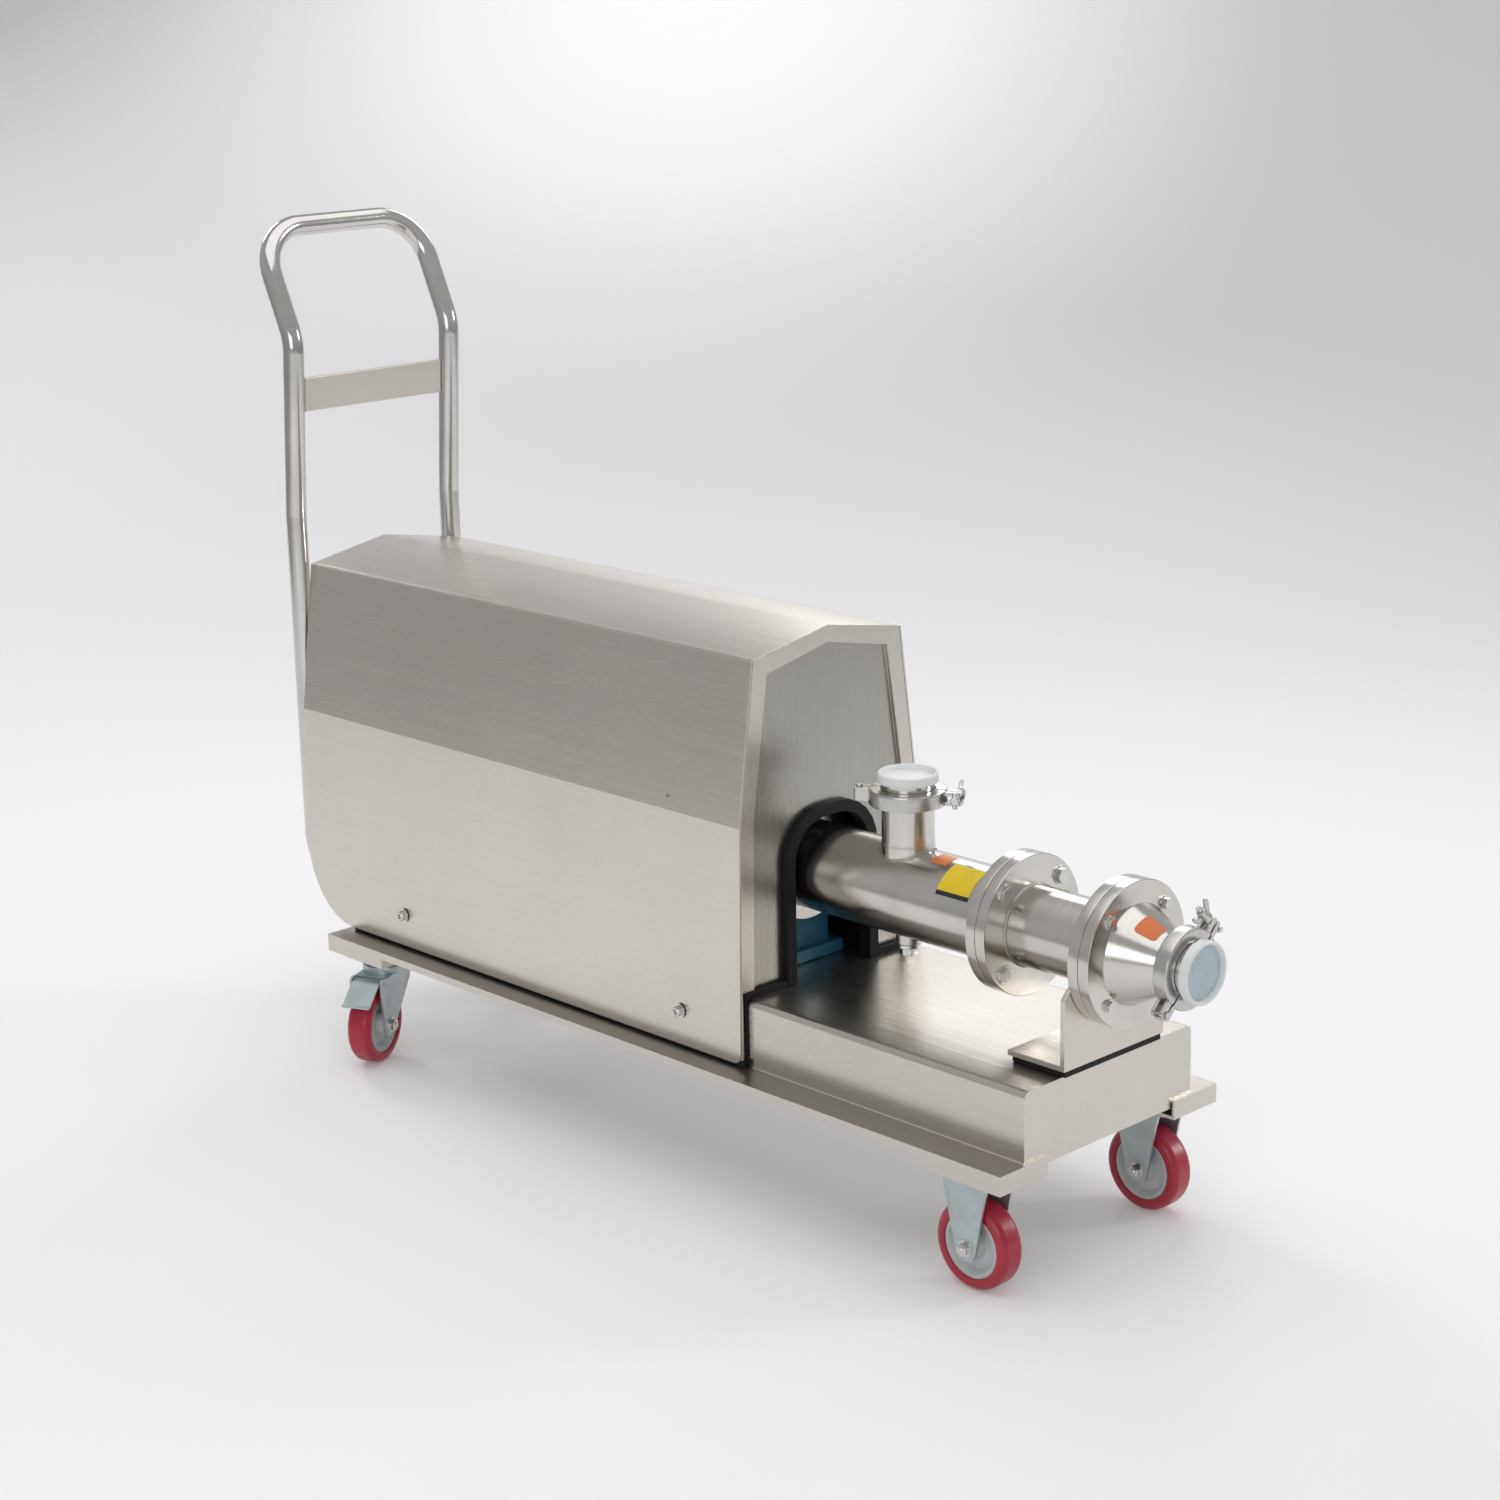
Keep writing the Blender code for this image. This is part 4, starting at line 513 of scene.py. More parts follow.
# Socket cap screws on washers
def makePanelScrews():
    s = capScrew
    face = s["face"]
    under = face + s["washerSheet"]
    top = face + s["height"]
    profile = [
        (face - s["shankDepth"], 0.0), (face - s["shankDepth"], s["shank"]),
        (face, s["shank"]), (face, s["washer"]), (under, s["washer"]),
        (under, s["head"]), (top - s["edge"], s["head"]), (top, s["head"] - s["edge"]),
        (top, s["socket"] * 1.15), (top - 0.0004, s["socket"]),
        (top - s["socketDepth"], s["socket"]), (top - s["socketDepth"], 0.0)]
    for side, tag in ((-1, "near"), (1, "far")):
        for index, x in enumerate(s["spots"]):
            screw = turnedPiece(f"panelScrew_{tag}_{index + 1}", profile, axis="Z", sides=36)
            bakePlace(screw, (x, 0, s["z"]), (-side * math.pi / 2, 0, 0))
            settle(screw, "boltSteel", f"panel_screw_{tag}_{index + 1}")


makeCover()
makeTray()
makeHandle()
makePanelScrews()
makePanelHole()
print("cover, tray and handle made")


# Casters

wheelSizes = {"radius": 0.050, "wear": 0.0004, "tread": 0.032, "core": 0.0365, "axle": 0.0045,
              "shoulder": 0.0085, "hubHalf": 0.0197, "frontX": 1.088, "rearX": 0.067,
              "y": 0.142, "trail": 0.034,
              "nearTurn": math.radians(-65), "farTurn": math.radians(170)}


# Tyre with a soft shoulder, and the dished hub with its bearing ring
def wheelPieces(tag):
    w = wheelSizes
    half, shoulder, seat, end = w["tread"] / 2, w["shoulder"], w["core"], w["hubHalf"]
    tyre = [(half - 0.001, seat + hairline), (half, seat + 0.002)]
    tyre += [(half - shoulder + u, w["radius"] - w["wear"] - shoulder + v) for u, v in
             arcPoints((0, 0), shoulder, 0, 90, 8)]
    tyre += [(-u, v) for u, v in reversed(tyre)]
    tyre.append(tyre[0])
    rim = half - 0.002
    bore = w["axle"] + hairline
    hub = [(rim, seat - 0.004), (rim - 0.0008, seat), (-rim + 0.0008, seat),
           (-rim, seat - 0.004), (-rim + 0.004, seat - 0.007), (-0.0055, seat - 0.009),
           (-0.0075, 0.016), (-end + 0.003, 0.0145), (-end, 0.0125), (-end, bore),
           (end, bore), (end, 0.0125), (end - 0.003, 0.0145), (0.0075, 0.016),
           (0.0055, seat - 0.009), (rim - 0.004, seat - 0.007), (rim, seat - 0.004)]
    tread = turnedPiece("tread_" + tag, tyre, axis="Y")
    core = turnedPiece("hub_" + tag, hub, axis="Y", sides=72)
    return tread, core


axleNut = {"face": 0.0230, "washer": 0.0098, "washerSheet": 0.0012, "corner": 0.0076,
           "height": 0.0064, "thread": 0.0042, "end": 0.0080}


# Washer, hexagon nut and thread end on both cheeks of a fork
def axleNuts(tag, place, turn, body):
    n = axleNut
    low = n["face"]
    mid = low + n["washerSheet"]
    top = mid + n["height"]
    end = low + n["end"]
    pieces = []
    for side, word in ((-1, "Near"), (1, "Far")):
        name = f"axleNut_{tag}{word}"
        washer = turnedPiece(name, [
            (low - 0.0006, 0.0), (low - 0.0006, n["washer"]), (mid - 0.0003, n["washer"]),
            (mid, n["washer"] - 0.0003), (mid, 0.0)], axis="Z", sides=40)
        nut = turnedPiece(name + "Hex", [
            (mid - 0.0004, 0.0), (mid - 0.0004, n["corner"]), (top - 0.0012, n["corner"]),
            (top, n["corner"] - 0.0014), (top, 0.0)], axis="Z", sides=6)
        thread = turnedPiece(name + "Thread", [
            (top - 0.0005, 0.0), (top - 0.0005, n["thread"]), (end, n["thread"]),
            (end + 0.0006, n["thread"] - 0.0008), (end + 0.0006, 0.0)], axis="Z", sides=28)
        piece = joinPieces(name, washer, nut, thread)
        bakePlace(piece, turn=(-side * math.pi / 2, 0, 0))
        pieces.append(piece)
    pair = joinPieces("axleNuts_" + tag, *pieces)
    bakePlace(pair, place, (0, 0, turn))
    settle(pair, "boltSteel", body=body)


def placeWheel(tag, place, turn, body):
    tread, core = wheelPieces(tag)
    for piece, node, finish in ((tread, "tyre_", "redTread"), (core, "core_", "greyHub")):
        bakePlace(piece, place, (0, 0, turn))
        settle(piece, finish, node + tag, smooth=40)
    axleNuts(tag, place, turn, body)


zincEdges = {"fork_front_": 0.0006, "fork_rear_": 0.0006, "plate_rear_": 0.0006,
             "brake_pedal_": 0.0007}


def makeCasters():
    w = wheelSizes
    for tag, side in (("near", -1), ("far", 1)):
        placeWheel("front_" + tag, (w["frontX"], side * w["y"], w["radius"]), 0, "trolley")
        turn = w[tag + "Turn"]
        place = (w["rearX"] + w["trail"] * math.cos(turn),
                 side * w["y"] + w["trail"] * math.sin(turn), w["radius"])
        placeWheel("rear_" + tag, place, turn, "swivel_" + tag)
        for node, edge in zincEdges.items():
            refine(node + tag, "zincSteel", edge)


makeCasters()
print("casters made")


# Pump: casing, stator tube and discharge cone

pumpSizes = {
    "casing": 0.0515, "wall": 0.003, "rear": 0.690, "flange": 0.0785, "sheet": 0.0135,
    "firstPair": 1.024, "stator": 0.142, "endFlange": 0.080, "circle": 0.064,
    "tube": 0.045, "bolt": 0.004, "head": 0.0072, "headHeight": 0.0055,
    "portX": 0.856, "port": 0.0295, "portWall": 0.002, "portFace": 0.1085,
    "ferrule": 0.0385, "ferruleSheet": 0.006, "rim": 0.38, "collar": 0.0014,
    "outletFlange": 1.180, "cone": 0.056, "coneRoot": 0.0545, "outletPort": 0.0305,
    "shaft": 0.0175, "sealRoom": 0.0105, "bracketSheet": 0.006,
}
pumpAxis = (0, 0, pumpZ)
p = pumpSizes
secondPair = p["firstPair"] + p["stator"]


# Profile of a turned flange's rim from its far face to its near face
def flangeFace(near, far, radius, edge=0.0010):
    return [(far, radius - edge), (far - edge * 0.3, radius - edge * 0.3),
            (far - edge, radius), (near + edge, radius),
            (near + edge * 0.3, radius - edge * 0.3), (near, radius - edge)]


def weldRing(name, along, radius, thickness):
    clearSelection()
    bpy.ops.mesh.primitive_torus_add(major_radius=radius, minor_radius=thickness,
                                     major_segments=96, minor_segments=8)
    piece = bpy.context.active_object
    piece.name = name
    bakePlace(piece, (along, 0, pumpZ), axisTurns["X"])
    settleTrim(piece, "weldSteel")


# The bolts' Y and Z on the bolt circle
boltSpots = arcPoints((0, pumpZ), p["circle"], 45, 315, 3)


# Clearance holes for the four bolts
def cutHoles(piece, start, end):
    for y, z in boltSpots:
        clearSelection()
        bpy.ops.mesh.primitive_cylinder_add(vertices=24, radius=p["bolt"] + hairline,
                                            depth=end - start)
        tool = bpy.context.active_object
        bakePlace(tool, ((start + end) / 2, y, z), axisTurns["X"])
        applyModifier(piece, "BOOLEAN", object=tool, operation="DIFFERENCE", solver="EXACT")
        bpy.data.objects.remove(tool)


def makeCasing():
    tube, sheet, flange = p["casing"], p["sheet"], p["flange"]
    inner = tube - p["wall"]
    front = p["firstPair"] - hairline / 2
    back = front - sheet
    seat = p["shaft"] + p["sealRoom"]
    rear = p["rear"]
    profile = [(front, inner), *flangeFace(back, front, flange), (back, tube + 0.002),
               (back - 0.001, tube + 0.0008), (back - 0.003, tube), (rear + 0.012, tube),
               (rear + 0.012, flange - 0.012), (rear, flange - 0.012), (rear, seat),
               (rear + 0.008, seat), (rear + 0.008, inner), (front, inner)]
    body = turnedPiece("casingTube", profile, pumpAxis, sides=128)
    cutHoles(body, back - 0.01, front + 0.01)
    face, port, ferrule = p["portFace"], p["port"], p["ferrule"]
    bore = port - p["portWall"]
    under = face - p["ferruleSheet"]
    portTube = turnedPiece("portTube", [
        (face, bore), (face, ferrule - 0.0006), (face - 0.0006, ferrule),
        (face - p["ferruleSheet"] * p["rim"], ferrule), (under, port + 0.001),
        (under - 0.0015, port), (tube + 0.009, port), (tube + 0.005, port + 0.0006),
        (tube + 0.0015, port + p["collar"] * 0.6), (0.034, port + p["collar"]),
        (0.034, bore), (face, bore)], (p["portX"], 0, pumpZ), "Z")
    boss = turnedPiece("drainBoss", [
        (-0.061, 0.0085), (-0.061, 0.0138), (-0.0603, 0.0145), (-0.045, 0.0145),
        (-0.045, 0.0085), (-0.061, 0.0085)], (p["portX"], 0, pumpZ), "Z", 48)
    settle(joinPieces("suctionCasing", body, portTube, boss), "turnedSteel", "suction_casing")
    weldRing("casingSeam", back - 0.0012, tube + 0.0006, 0.0011)
    settleTrim(sweptPiece("portSeam", portSeamPath(), p["collar"], 4), "weldSteel")


# Where the port's collar meets the round casing
def portSeamPath(steps=72):
    radius = p["port"] + p["collar"]
    points = []
    for i in range(steps + 1):
        angle = 2 * math.pi * i / steps
        x = p["portX"] + radius * math.cos(angle)
        y = radius * math.sin(angle)
        points.append((x, y, pumpZ + math.sqrt(p["casing"] ** 2 - y * y) + 0.0002))
    return points


def hexagon(radius):
    return arcPoints((0, 0), radius, 30, 330, 5)


# Hexagon head on a washer, its face towards +X from X = 0
def hexBolt(name, radius, height):
    bolt = outlinePiece(name, hexagon(radius), 0.0012, height, 0.0006, turn=axisTurns["X"])
    washer = turnedPiece(name + "Washer", [
        (0.0, 0.0), (0.0, radius * 1.16), (0.0009, radius * 1.18),
        (0.0013, radius * 1.12), (0.0013, 0.0)], sides=40)
    return joinPieces(name, bolt, washer)


boltTurns = {"head": 17, "nut": 11}


# Heads in front, nuts and thread ends behind, each bolt turned on from the one before
def boltSet(tag, back, front, lowExtra, heads):
    pieces = []
    for index, (y, z) in enumerate(boltSpots):
        behind = back - hairline - (lowExtra if z < pumpZ else 0.0)
        head = hexBolt(f"{tag}Head{index}", p["head"] * heads, p["headHeight"])
        bakePlace(head, (front, y, z), (math.radians(boltTurns["head"] * index), 0, 0))
        nut = hexBolt(f"{tag}Nut{index}", p["head"] * heads, p["headHeight"])
        bakePlace(nut, turn=(0, 0, math.pi))
        bakePlace(nut, (behind, y, z), (math.radians(boltTurns["nut"] * index), 0, 0))
        thread = turnedPiece(f"{tag}Thread{index}", [
            (behind - 0.0094, 0.0), (behind - 0.0094, p["bolt"] - 0.0008),
            (behind - 0.0086, p["bolt"]), (front + 0.001, p["bolt"]),
            (front + 0.001, 0.0)], (0, y, z), sides=24)
        pieces += [head, nut, thread]
    settleTrim(joinPieces(tag + "Bolts", *pieces), "boltSteel")


def makeStatorTube():
    tube, sheet = p["tube"], p["sheet"]
    start = p["firstPair"] + hairline / 2
    end = secondPair - hairline / 2
    front, back = start + sheet, end - sheet
    inner = tube - 0.003
    profile = [(end, inner), *flangeFace(back, end, p["endFlange"]), (back, tube + 0.002),
               (back - 0.002, tube), (front + 0.002, tube), (front, tube + 0.002),
               *flangeFace(start, front, p["flange"]), (start, inner), (end, inner)]
    barrel = turnedPiece("statorBarrel", profile, pumpAxis, sides=128)
    cutHoles(barrel, start - 0.01, front + 0.01)
    cutHoles(barrel, back - 0.01, end + 0.01)
    settle(barrel, "turnedSteel", "stator_tube")
    boltSet("middle", start - hairline - sheet, front, 0.0, 1.25)
    for along in (front + 0.0008, back - 0.0008):
        weldRing(f"barrelSeam_{round(along * 1000)}", along, tube + 0.0006, 0.0012)


def makeCone():
    root, port, ferrule = p["coneRoot"], p["outletPort"], p["ferrule"]
    start = secondPair + hairline / 2
    front = p["outletFlange"]
    end = front + p["cone"]
    face = end + p["ferruleSheet"]
    rim = p["ferruleSheet"] * p["rim"]
    bore = port - p["portWall"]
    profile = [
        (face, bore), (face, ferrule - 0.0006), (face - 0.0006, ferrule),
        (face - rim, ferrule), (end, port + 0.0010), (end - 0.0012, port),
        (end - 0.006, port), (end - 0.0085, port + 0.0009), (front + 0.0065, root - 0.0031),
        (front + 0.004, root - 0.0012), (front + 0.001, root - 0.0003),
        (front, root + 0.0006), *flangeFace(start, front, p["endFlange"]),
        (start, root - 0.006), (front + 0.003, root - 0.006), (end - 0.006, bore),
        (face, bore)]
    cone = turnedPiece("dischargeCone", profile, pumpAxis, sides=128)
    cutHoles(cone, start - 0.01, front + 0.01)
    settle(cone, "turnedSteel", "discharge_cone")
    behind = start - hairline - p["sheet"]
    boltSet("end", behind, front, p["bracketSheet"] + 2 * hairline, 0.90)


drainSizes = {"reach": 0.061, "thread": 0.0081, "disc": 0.0135, "hexagon": 0.0105}


def makeDrain():
    d = drainSizes
    face = pumpZ - d["reach"] - hairline
    edge = d["disc"] - 0.0005
    plug = turnedPiece("drainPlug", [
        (face + 0.014, 0.0), (face + 0.014, d["thread"]), (face, d["thread"]), (face, edge),
        (face - 0.0006, d["disc"]), (face - 0.0044, d["disc"]), (face - 0.005, edge),
        (face - 0.005, 0.0)], (p["portX"], 0, 0), "Z", 48)
    head = outlinePiece("drainHead", hexagon(d["hexagon"]), face - 0.014, face - 0.0045,
                        0.0008, (p["portX"], 0, 0))
    settle(joinPieces("drainPlug", plug, head), "boltSteel", "drain_plug")


makeCasing()
makeStatorTube()
makeCone()
makeDrain()
print("pump line made")


# Ports: gasket, stub, hinged clamp, swing bolt, wing nut and cap

portSizes = {
    "gasket": 0.0016, "stub": 0.012, "clamp": 0.044, "boltReach": 0.0115,
    "earHalf": 0.0075, "cap": 0.0342, "capLength": 0.0050, "capSheet": 0.0022,
    "capLip": 0.006, "inletTurn": math.radians(30), "outletTurn": math.radians(135),
    "wingTurn": {"inlet": math.pi / 2, "outlet": 0.0}, "ear": 0.017, "earCorner": 0.0045,
    "split": 0.0012,
}
q = portSizes
earTip = q["clamp"] + q["ear"]


def portFrame(tag):
    if tag == "inlet":
        spin = Matrix.Rotation(q["inletTurn"], 4, "Z")
        return Matrix.Translation((p["portX"], 0, pumpZ + p["portFace"])) @ spin
    turn = q["outletTurn"]
    outward = p["outletFlange"] + p["cone"] + p["ferruleSheet"]
    return Matrix(((0, 0, 1, outward), (math.sin(turn), math.cos(turn), 0, 0),
                   (-math.cos(turn), math.sin(turn), 0, pumpZ), (0, 0, 0, 1)))


def bakeMatrix(piece, matrix):
    pick(piece)
    piece.matrix_world = matrix
    bpy.ops.object.transform_apply(location=True, rotation=True, scale=True)
    return piece


# A profile that is the same on both sides of the middle
def evenProfile(middle, half):
    return [(middle - u, v) for u, v in half] + [(middle + u, v) for u, v in reversed(half)]


# One half of the turned ring, with its two ears
def clampHalf(name, side, profile, middle):
    half = turnedPiece(name, profile, axis="Z", sides=96)
    pick(half)
    editAll()
    bpy.ops.mesh.bisect(plane_co=(0, side * q["split"], 0), plane_no=(0, side, 0),
                        use_fill=True, clear_inner=True)
    bpy.ops.object.mode_set(mode="OBJECT")
    softenEdges(half, 0.0005, 2, 50)
    pieces = [half]
    for end in (-1, 1):
        slotted = end > 0 or side > 0
        thick = q["earHalf"] - 0.0034 if slotted else 2 * q["earHalf"]
        root = end * (q["clamp"] - 0.004)
        start = 0 if end > 0 else 180
        finish = start + (90 if end * side > 0 else -90)
        tip = arcPoints((end * (earTip - q["earCorner"]), side * 0.0030), q["earCorner"],
                        start, finish, 6)
        outline = [(root, side * q["split"]), (end * (earTip - 0.0015), side * q["split"]),
                   (end * earTip, side * 0.0030), *tip[1:], (root, side * q["earHalf"])]
        for level in ((-1, 1) if slotted else (0,)):
            centre = middle + level * (q["earHalf"] - thick / 2)
            pieces.append(outlinePiece(f"{name}Ear{end}{level}", outline,
                                       centre - thick / 2, centre + thick / 2, 0.0006))
    return pieces


def makeClamp(tag, place, low):
    ring, sheet = q["clamp"], p["ferruleSheet"]
    middle = low / 2
    reach = low / 2 + sheet + 0.0018
    top, bottom = middle + reach, middle - reach
    throat = p["port"] + 0.0012
    rim = sheet * p["rim"]
    inner = p["ferrule"] + hairline
    profile = [(top, throat), (top, ring - 0.0024), (top - 0.0007, ring - 0.0007),
               (top - 0.0024, ring), (bottom + 0.0024, ring),
               (bottom + 0.0007, ring - 0.0007), (bottom, ring - 0.0024),
               (bottom, throat), (-sheet - hairline, throat), (-rim - hairline, inner),
               (low + rim + hairline, inner), (low + sheet + hairline, throat),
               (top, throat)]
    for label, side in (("front", 1), ("back", -1)):
        name = f"clamp_{tag}_{label}"
        pieces = clampHalf("ring_" + name, side, profile, middle)
        if side < 0:
            pieces.append(turnedPiece(name + "Pin", evenProfile(middle, [
                (0.0098, 0.0), (0.0098, 0.0034), (0.0085, 0.0038), (0.0078, 0.0038),
                (0.0078, 0.0026)]), (-earTip + 0.006, 0, 0), "Z", 32))
        half = joinPieces("ring_" + name, *pieces)
        bakeMatrix(half, place)
        settle(half, "castSteel", name, smooth=40)
    x = ring + q["boltReach"]
    bolt = turnedPiece("eyeBolt_" + tag, [
        (-0.0150, 0.0), (-0.0150, 0.0040), (-0.0142, 0.0050), (-0.0090, 0.0050),
        (-0.0080, 0.0042), (-0.0078, 0.0029), (0.0288, 0.0029), (0.0295, 0.0022),
        (0.0295, 0.0)], (x, 0, middle), "Y", 32)
    crossPin = turnedPiece("eyePin_" + tag, evenProfile(middle, [
        (0.0092, 0.0), (0.0092, 0.0027), (0.0086, 0.0032)]), (x, -0.0112, 0), "Z", 24)
    bolt = joinPieces("eyeBolt_" + tag, bolt, crossPin)
    bakeMatrix(bolt, place)
    settle(bolt, "boltSteel", "swing_bolt_" + tag)
    makeWingNut(tag, place, x, middle)


# Cast wing nut: conical hub and two swept, rounded wings
def makeWingNut(tag, place, x, middle):
    hub = turnedPiece("wings_" + tag, [
        (0.0155, 0.0032), (0.0155, 0.0044), (0.0150, 0.0049), (0.0040, 0.0067),
        (0.0006, 0.0069), (0.0, 0.0064), (0.0, 0.0032), (0.0155, 0.0032)],
        axis="Z", sides=40)
    wings = []
    for side in (-1, 1):
        path = [(0.0030, 0.0030), (0.0080, 0.0036), (0.0112, 0.0078), (0.0140, 0.0132),
                (0.0146, 0.0172), (0.0134, 0.0196), (0.0110, 0.0199), (0.0092, 0.0174),
                (0.0068, 0.0135), (0.0030, 0.0128)]
        wing = outlinePiece(f"wing{tag}{side}", [(side * u, v) for u, v in path],
                            -0.0017, 0.0017, 0.0011, turn=(math.pi / 2, 0, 0))
        wings.append(wing)
    nut = joinPieces("wings_" + tag, hub, *wings)
    bakePlace(nut, turn=axisTurns["Y"])
    bakePlace(nut, (x, q["earHalf"] + hairline, middle), (0, q["wingTurn"][tag], 0))
    bakeMatrix(nut, place)
    settle(nut, "castSteel", "wing_nut_" + tag, smooth=50)


# Soft plastic cap: skirt, raised lip and a dished face
def makeCap(tag, place, high):
    low = high - q["capLength"] + q["capSheet"]
    inner = p["port"] + hairline
    floor = high + hairline
    face = floor + q["capSheet"]
    lip = face + q["capLip"]
    skirt = turnedPiece("capSkirt_" + tag, [
        (face - 0.0004, 0.0), (face - 0.0004, inner - 0.0012), (face + 0.0006, inner - 0.0004),
        (lip - 0.0014, inner + 0.0002), (lip - 0.0004, inner + 0.0008), (lip, inner + 0.0018),
        (lip - 0.0003, inner + 0.0030), (lip - 0.0014, q["cap"] - 0.0003),
        (low + 0.0016, q["cap"]), (low + 0.0004, q["cap"] - 0.0004), (low, q["cap"] - 0.0014),
        (low, inner), (floor, inner), (floor, 0.0)], axis="Z")
    bakeMatrix(skirt, place)
    settle(skirt, "capPlastic", "cap_" + tag)
    if tag == "outlet":
        film = turnedPiece("capFace_" + tag, [
            (face - 0.0002, 0.0), (face - 0.0002, inner - 0.0014),
            (face + 0.0004, inner - 0.0012), (face + 0.0008, inner - 0.0024),
            (face + 0.0006, 0.0)], axis="Z")
        bakeMatrix(film, place)
        settleTrim(film, "capFilm")


def makePort(tag):
    place = portFrame(tag)
    port, ferrule, sheet = p["port"], p["ferrule"], p["ferruleSheet"]
    bore = port - p["portWall"]
    rise = hairline + q["gasket"]
    gasket = turnedPiece("gasketRing_" + tag, [
        (hairline, bore), (hairline, ferrule - 0.0018),
        (hairline + q["gasket"] / 2, ferrule - 0.0013), (rise, ferrule - 0.0018),
        (rise, bore), (hairline, bore)], axis="Z", sides=72)
    bakeMatrix(gasket, place)
    settle(gasket, "sealWhite", "gasket_" + tag)
    low = q["gasket"] + 2 * hairline
    high = low + sheet + q["stub"]
    stub = turnedPiece("stubFerrule_" + tag, [
        (high, bore + 0.0003), (high, port - 0.0003), (high - 0.0004, port),
        (low + sheet + 0.001, port), (low + sheet, port + 0.0008),
        (low + sheet * p["rim"], ferrule), (low + 0.0006, ferrule),
        (low, ferrule - 0.0006), (low, bore), (high, bore + 0.0003)], axis="Z")
    bakeMatrix(stub, place)
    settle(stub, "portSteel", "stub_" + tag)
    makeClamp(tag, place, low)
    makeCap(tag, place, high)


for portTag in ("inlet", "outlet"):
    makePort(portTag)
print("ports made")


# Bare stickers on the pump

stickerSheet = {"thickness": 0.00025, "lift": 0.00012, "columns": 16, "rows": 30}

# Along the pump line in metres, and round it in degrees
stickerSizes = {
    "stickerYellow": {"from": 0.938, "to": 0.984, "low": 146, "high": 104, "corner": 0.0},
    "stickerEdge": {"from": 0.938, "to": 0.984, "low": 152, "high": 146.4, "corner": 0.0},
    "stickerSmall": {"from": 0.906, "to": 0.930, "low": 112, "high": 88, "corner": 0.003},
    "stickerCone": {"from": 1.1965, "to": 1.2200, "low": 128, "high": 92, "corner": 0.005},
}


# A patch of thin film wrapped round the pump line, which narrows by slope
def sticker(name, finish, radius, slope=0.0):
    spot = stickerSizes[name]
    corner = spot["corner"]
    clearSelection()
    bpy.ops.mesh.primitive_grid_add(x_subdivisions=stickerSheet["columns"],
                                    y_subdivisions=stickerSheet["rows"], size=2)
    patch = bpy.context.active_object
    patch.name = name
    length = spot["to"] - spot["from"]
    sweep = math.radians(spot["low"] - spot["high"])
    height = sweep * radius
    for point in patch.data.vertices:
        u, v = point.co.x, point.co.y
        if corner:
            inX = max(0.0, abs(u) * length / 2 - (length / 2 - corner))
            inY = max(0.0, abs(v) * height / 2 - (height / 2 - corner))
            over = math.hypot(inX, inY)
            if over > corner:
                pull = corner / over
                u = math.copysign((length / 2 - corner + inX * pull) / (length / 2), u)
                v = math.copysign((height / 2 - corner + inY * pull) / (height / 2), v)
        along = spot["from"] + length * (u + 1) / 2
        angle = math.radians(spot["low"]) - sweep * (v + 1) / 2
        reach = radius + stickerSheet["lift"] - slope * (along - spot["from"])
        point.co = (along, reach * math.cos(angle), pumpZ + reach * math.sin(angle))
    applyModifier(patch, "SOLIDIFY", thickness=stickerSheet["thickness"], offset=1.0)
    fixNormals(patch)
    settle(patch, finish, body="trolley", smooth=50)


# The cone's outer radius a little way in front of its flange
def coneRadius(along):
    start, rootRadius = p["outletFlange"] + 0.0065, p["coneRoot"] - 0.0031
    end, tipRadius = p["outletFlange"] + p["cone"] - 0.0085, p["outletPort"] + 0.0009
    return rootRadius + (tipRadius - rootRadius) * (along - start) / (end - start)


def makeStickers():
    sticker("stickerYellow", "yellowFilm", p["casing"])
    sticker("stickerEdge", "blackFilm", p["casing"])
    sticker("stickerSmall", "orangeFilm", p["casing"])
    spot = stickerSizes["stickerCone"]
    start, end = coneRadius(spot["from"]), coneRadius(spot["to"])
    sticker("stickerCone", "orangeFilm", start, (start - end) / (spot["to"] - spot["from"]))


makeStickers()
print("stickers made")


# Drive under the cover, and the hidden pump insides

driveEdges = {"gear_unit": 0.0015, "bearing_bracket": 0.0012, "motor_frame": 0.0008,
              "terminal_box": 0.0012, "fan_cowl": 0.0006}
hiddenFinishes = {"rotor": "turnedSteel", "connecting_rod": "darkSteel",
                  "stator_rubber": "blackRubber", "joint_sleeve": "blackRubber",
                  "motor_shaft": "darkSteel", "drive_shaft": "darkSteel",
                  "seal_ring_rotating": "darkSteel", "seal_ring_fixed": "sealWhite"}


def makeDrive():
    for node, edge in driveEdges.items():
        refine(node, "bluePaint", edge)
    for node, finish in hiddenFinishes.items():
        refine(node, finish, 0.0, smooth=50)


makeDrive()
print("drive and insides made")


# Floor, light and camera

studioSizes = {
    "nearReach": 5.0, "sideReach": 3.3, "wallDistance": 2.2, "wallHeight": 4.2, "bend": 3.2,
    "turn": math.radians(136.2), "roughness": 0.85, "floorColour": (0.84, 0.84, 0.85),
    # The far values paint shade on the floor towards the wall
    "paintedFarShade": 0.76, "shadeFrom": 0.2, "shadeTo": 3.6, "unevenScale": 0.6, "uneven": 0.3,
    # The spot values paint a pool of light high on the wall
    "paleGlow": 0.13, "paintedSpotGlow": 0.42, "spotFar": 4.85, "spotHeight": 1.40,
    "spotRadius": 2.0,
}


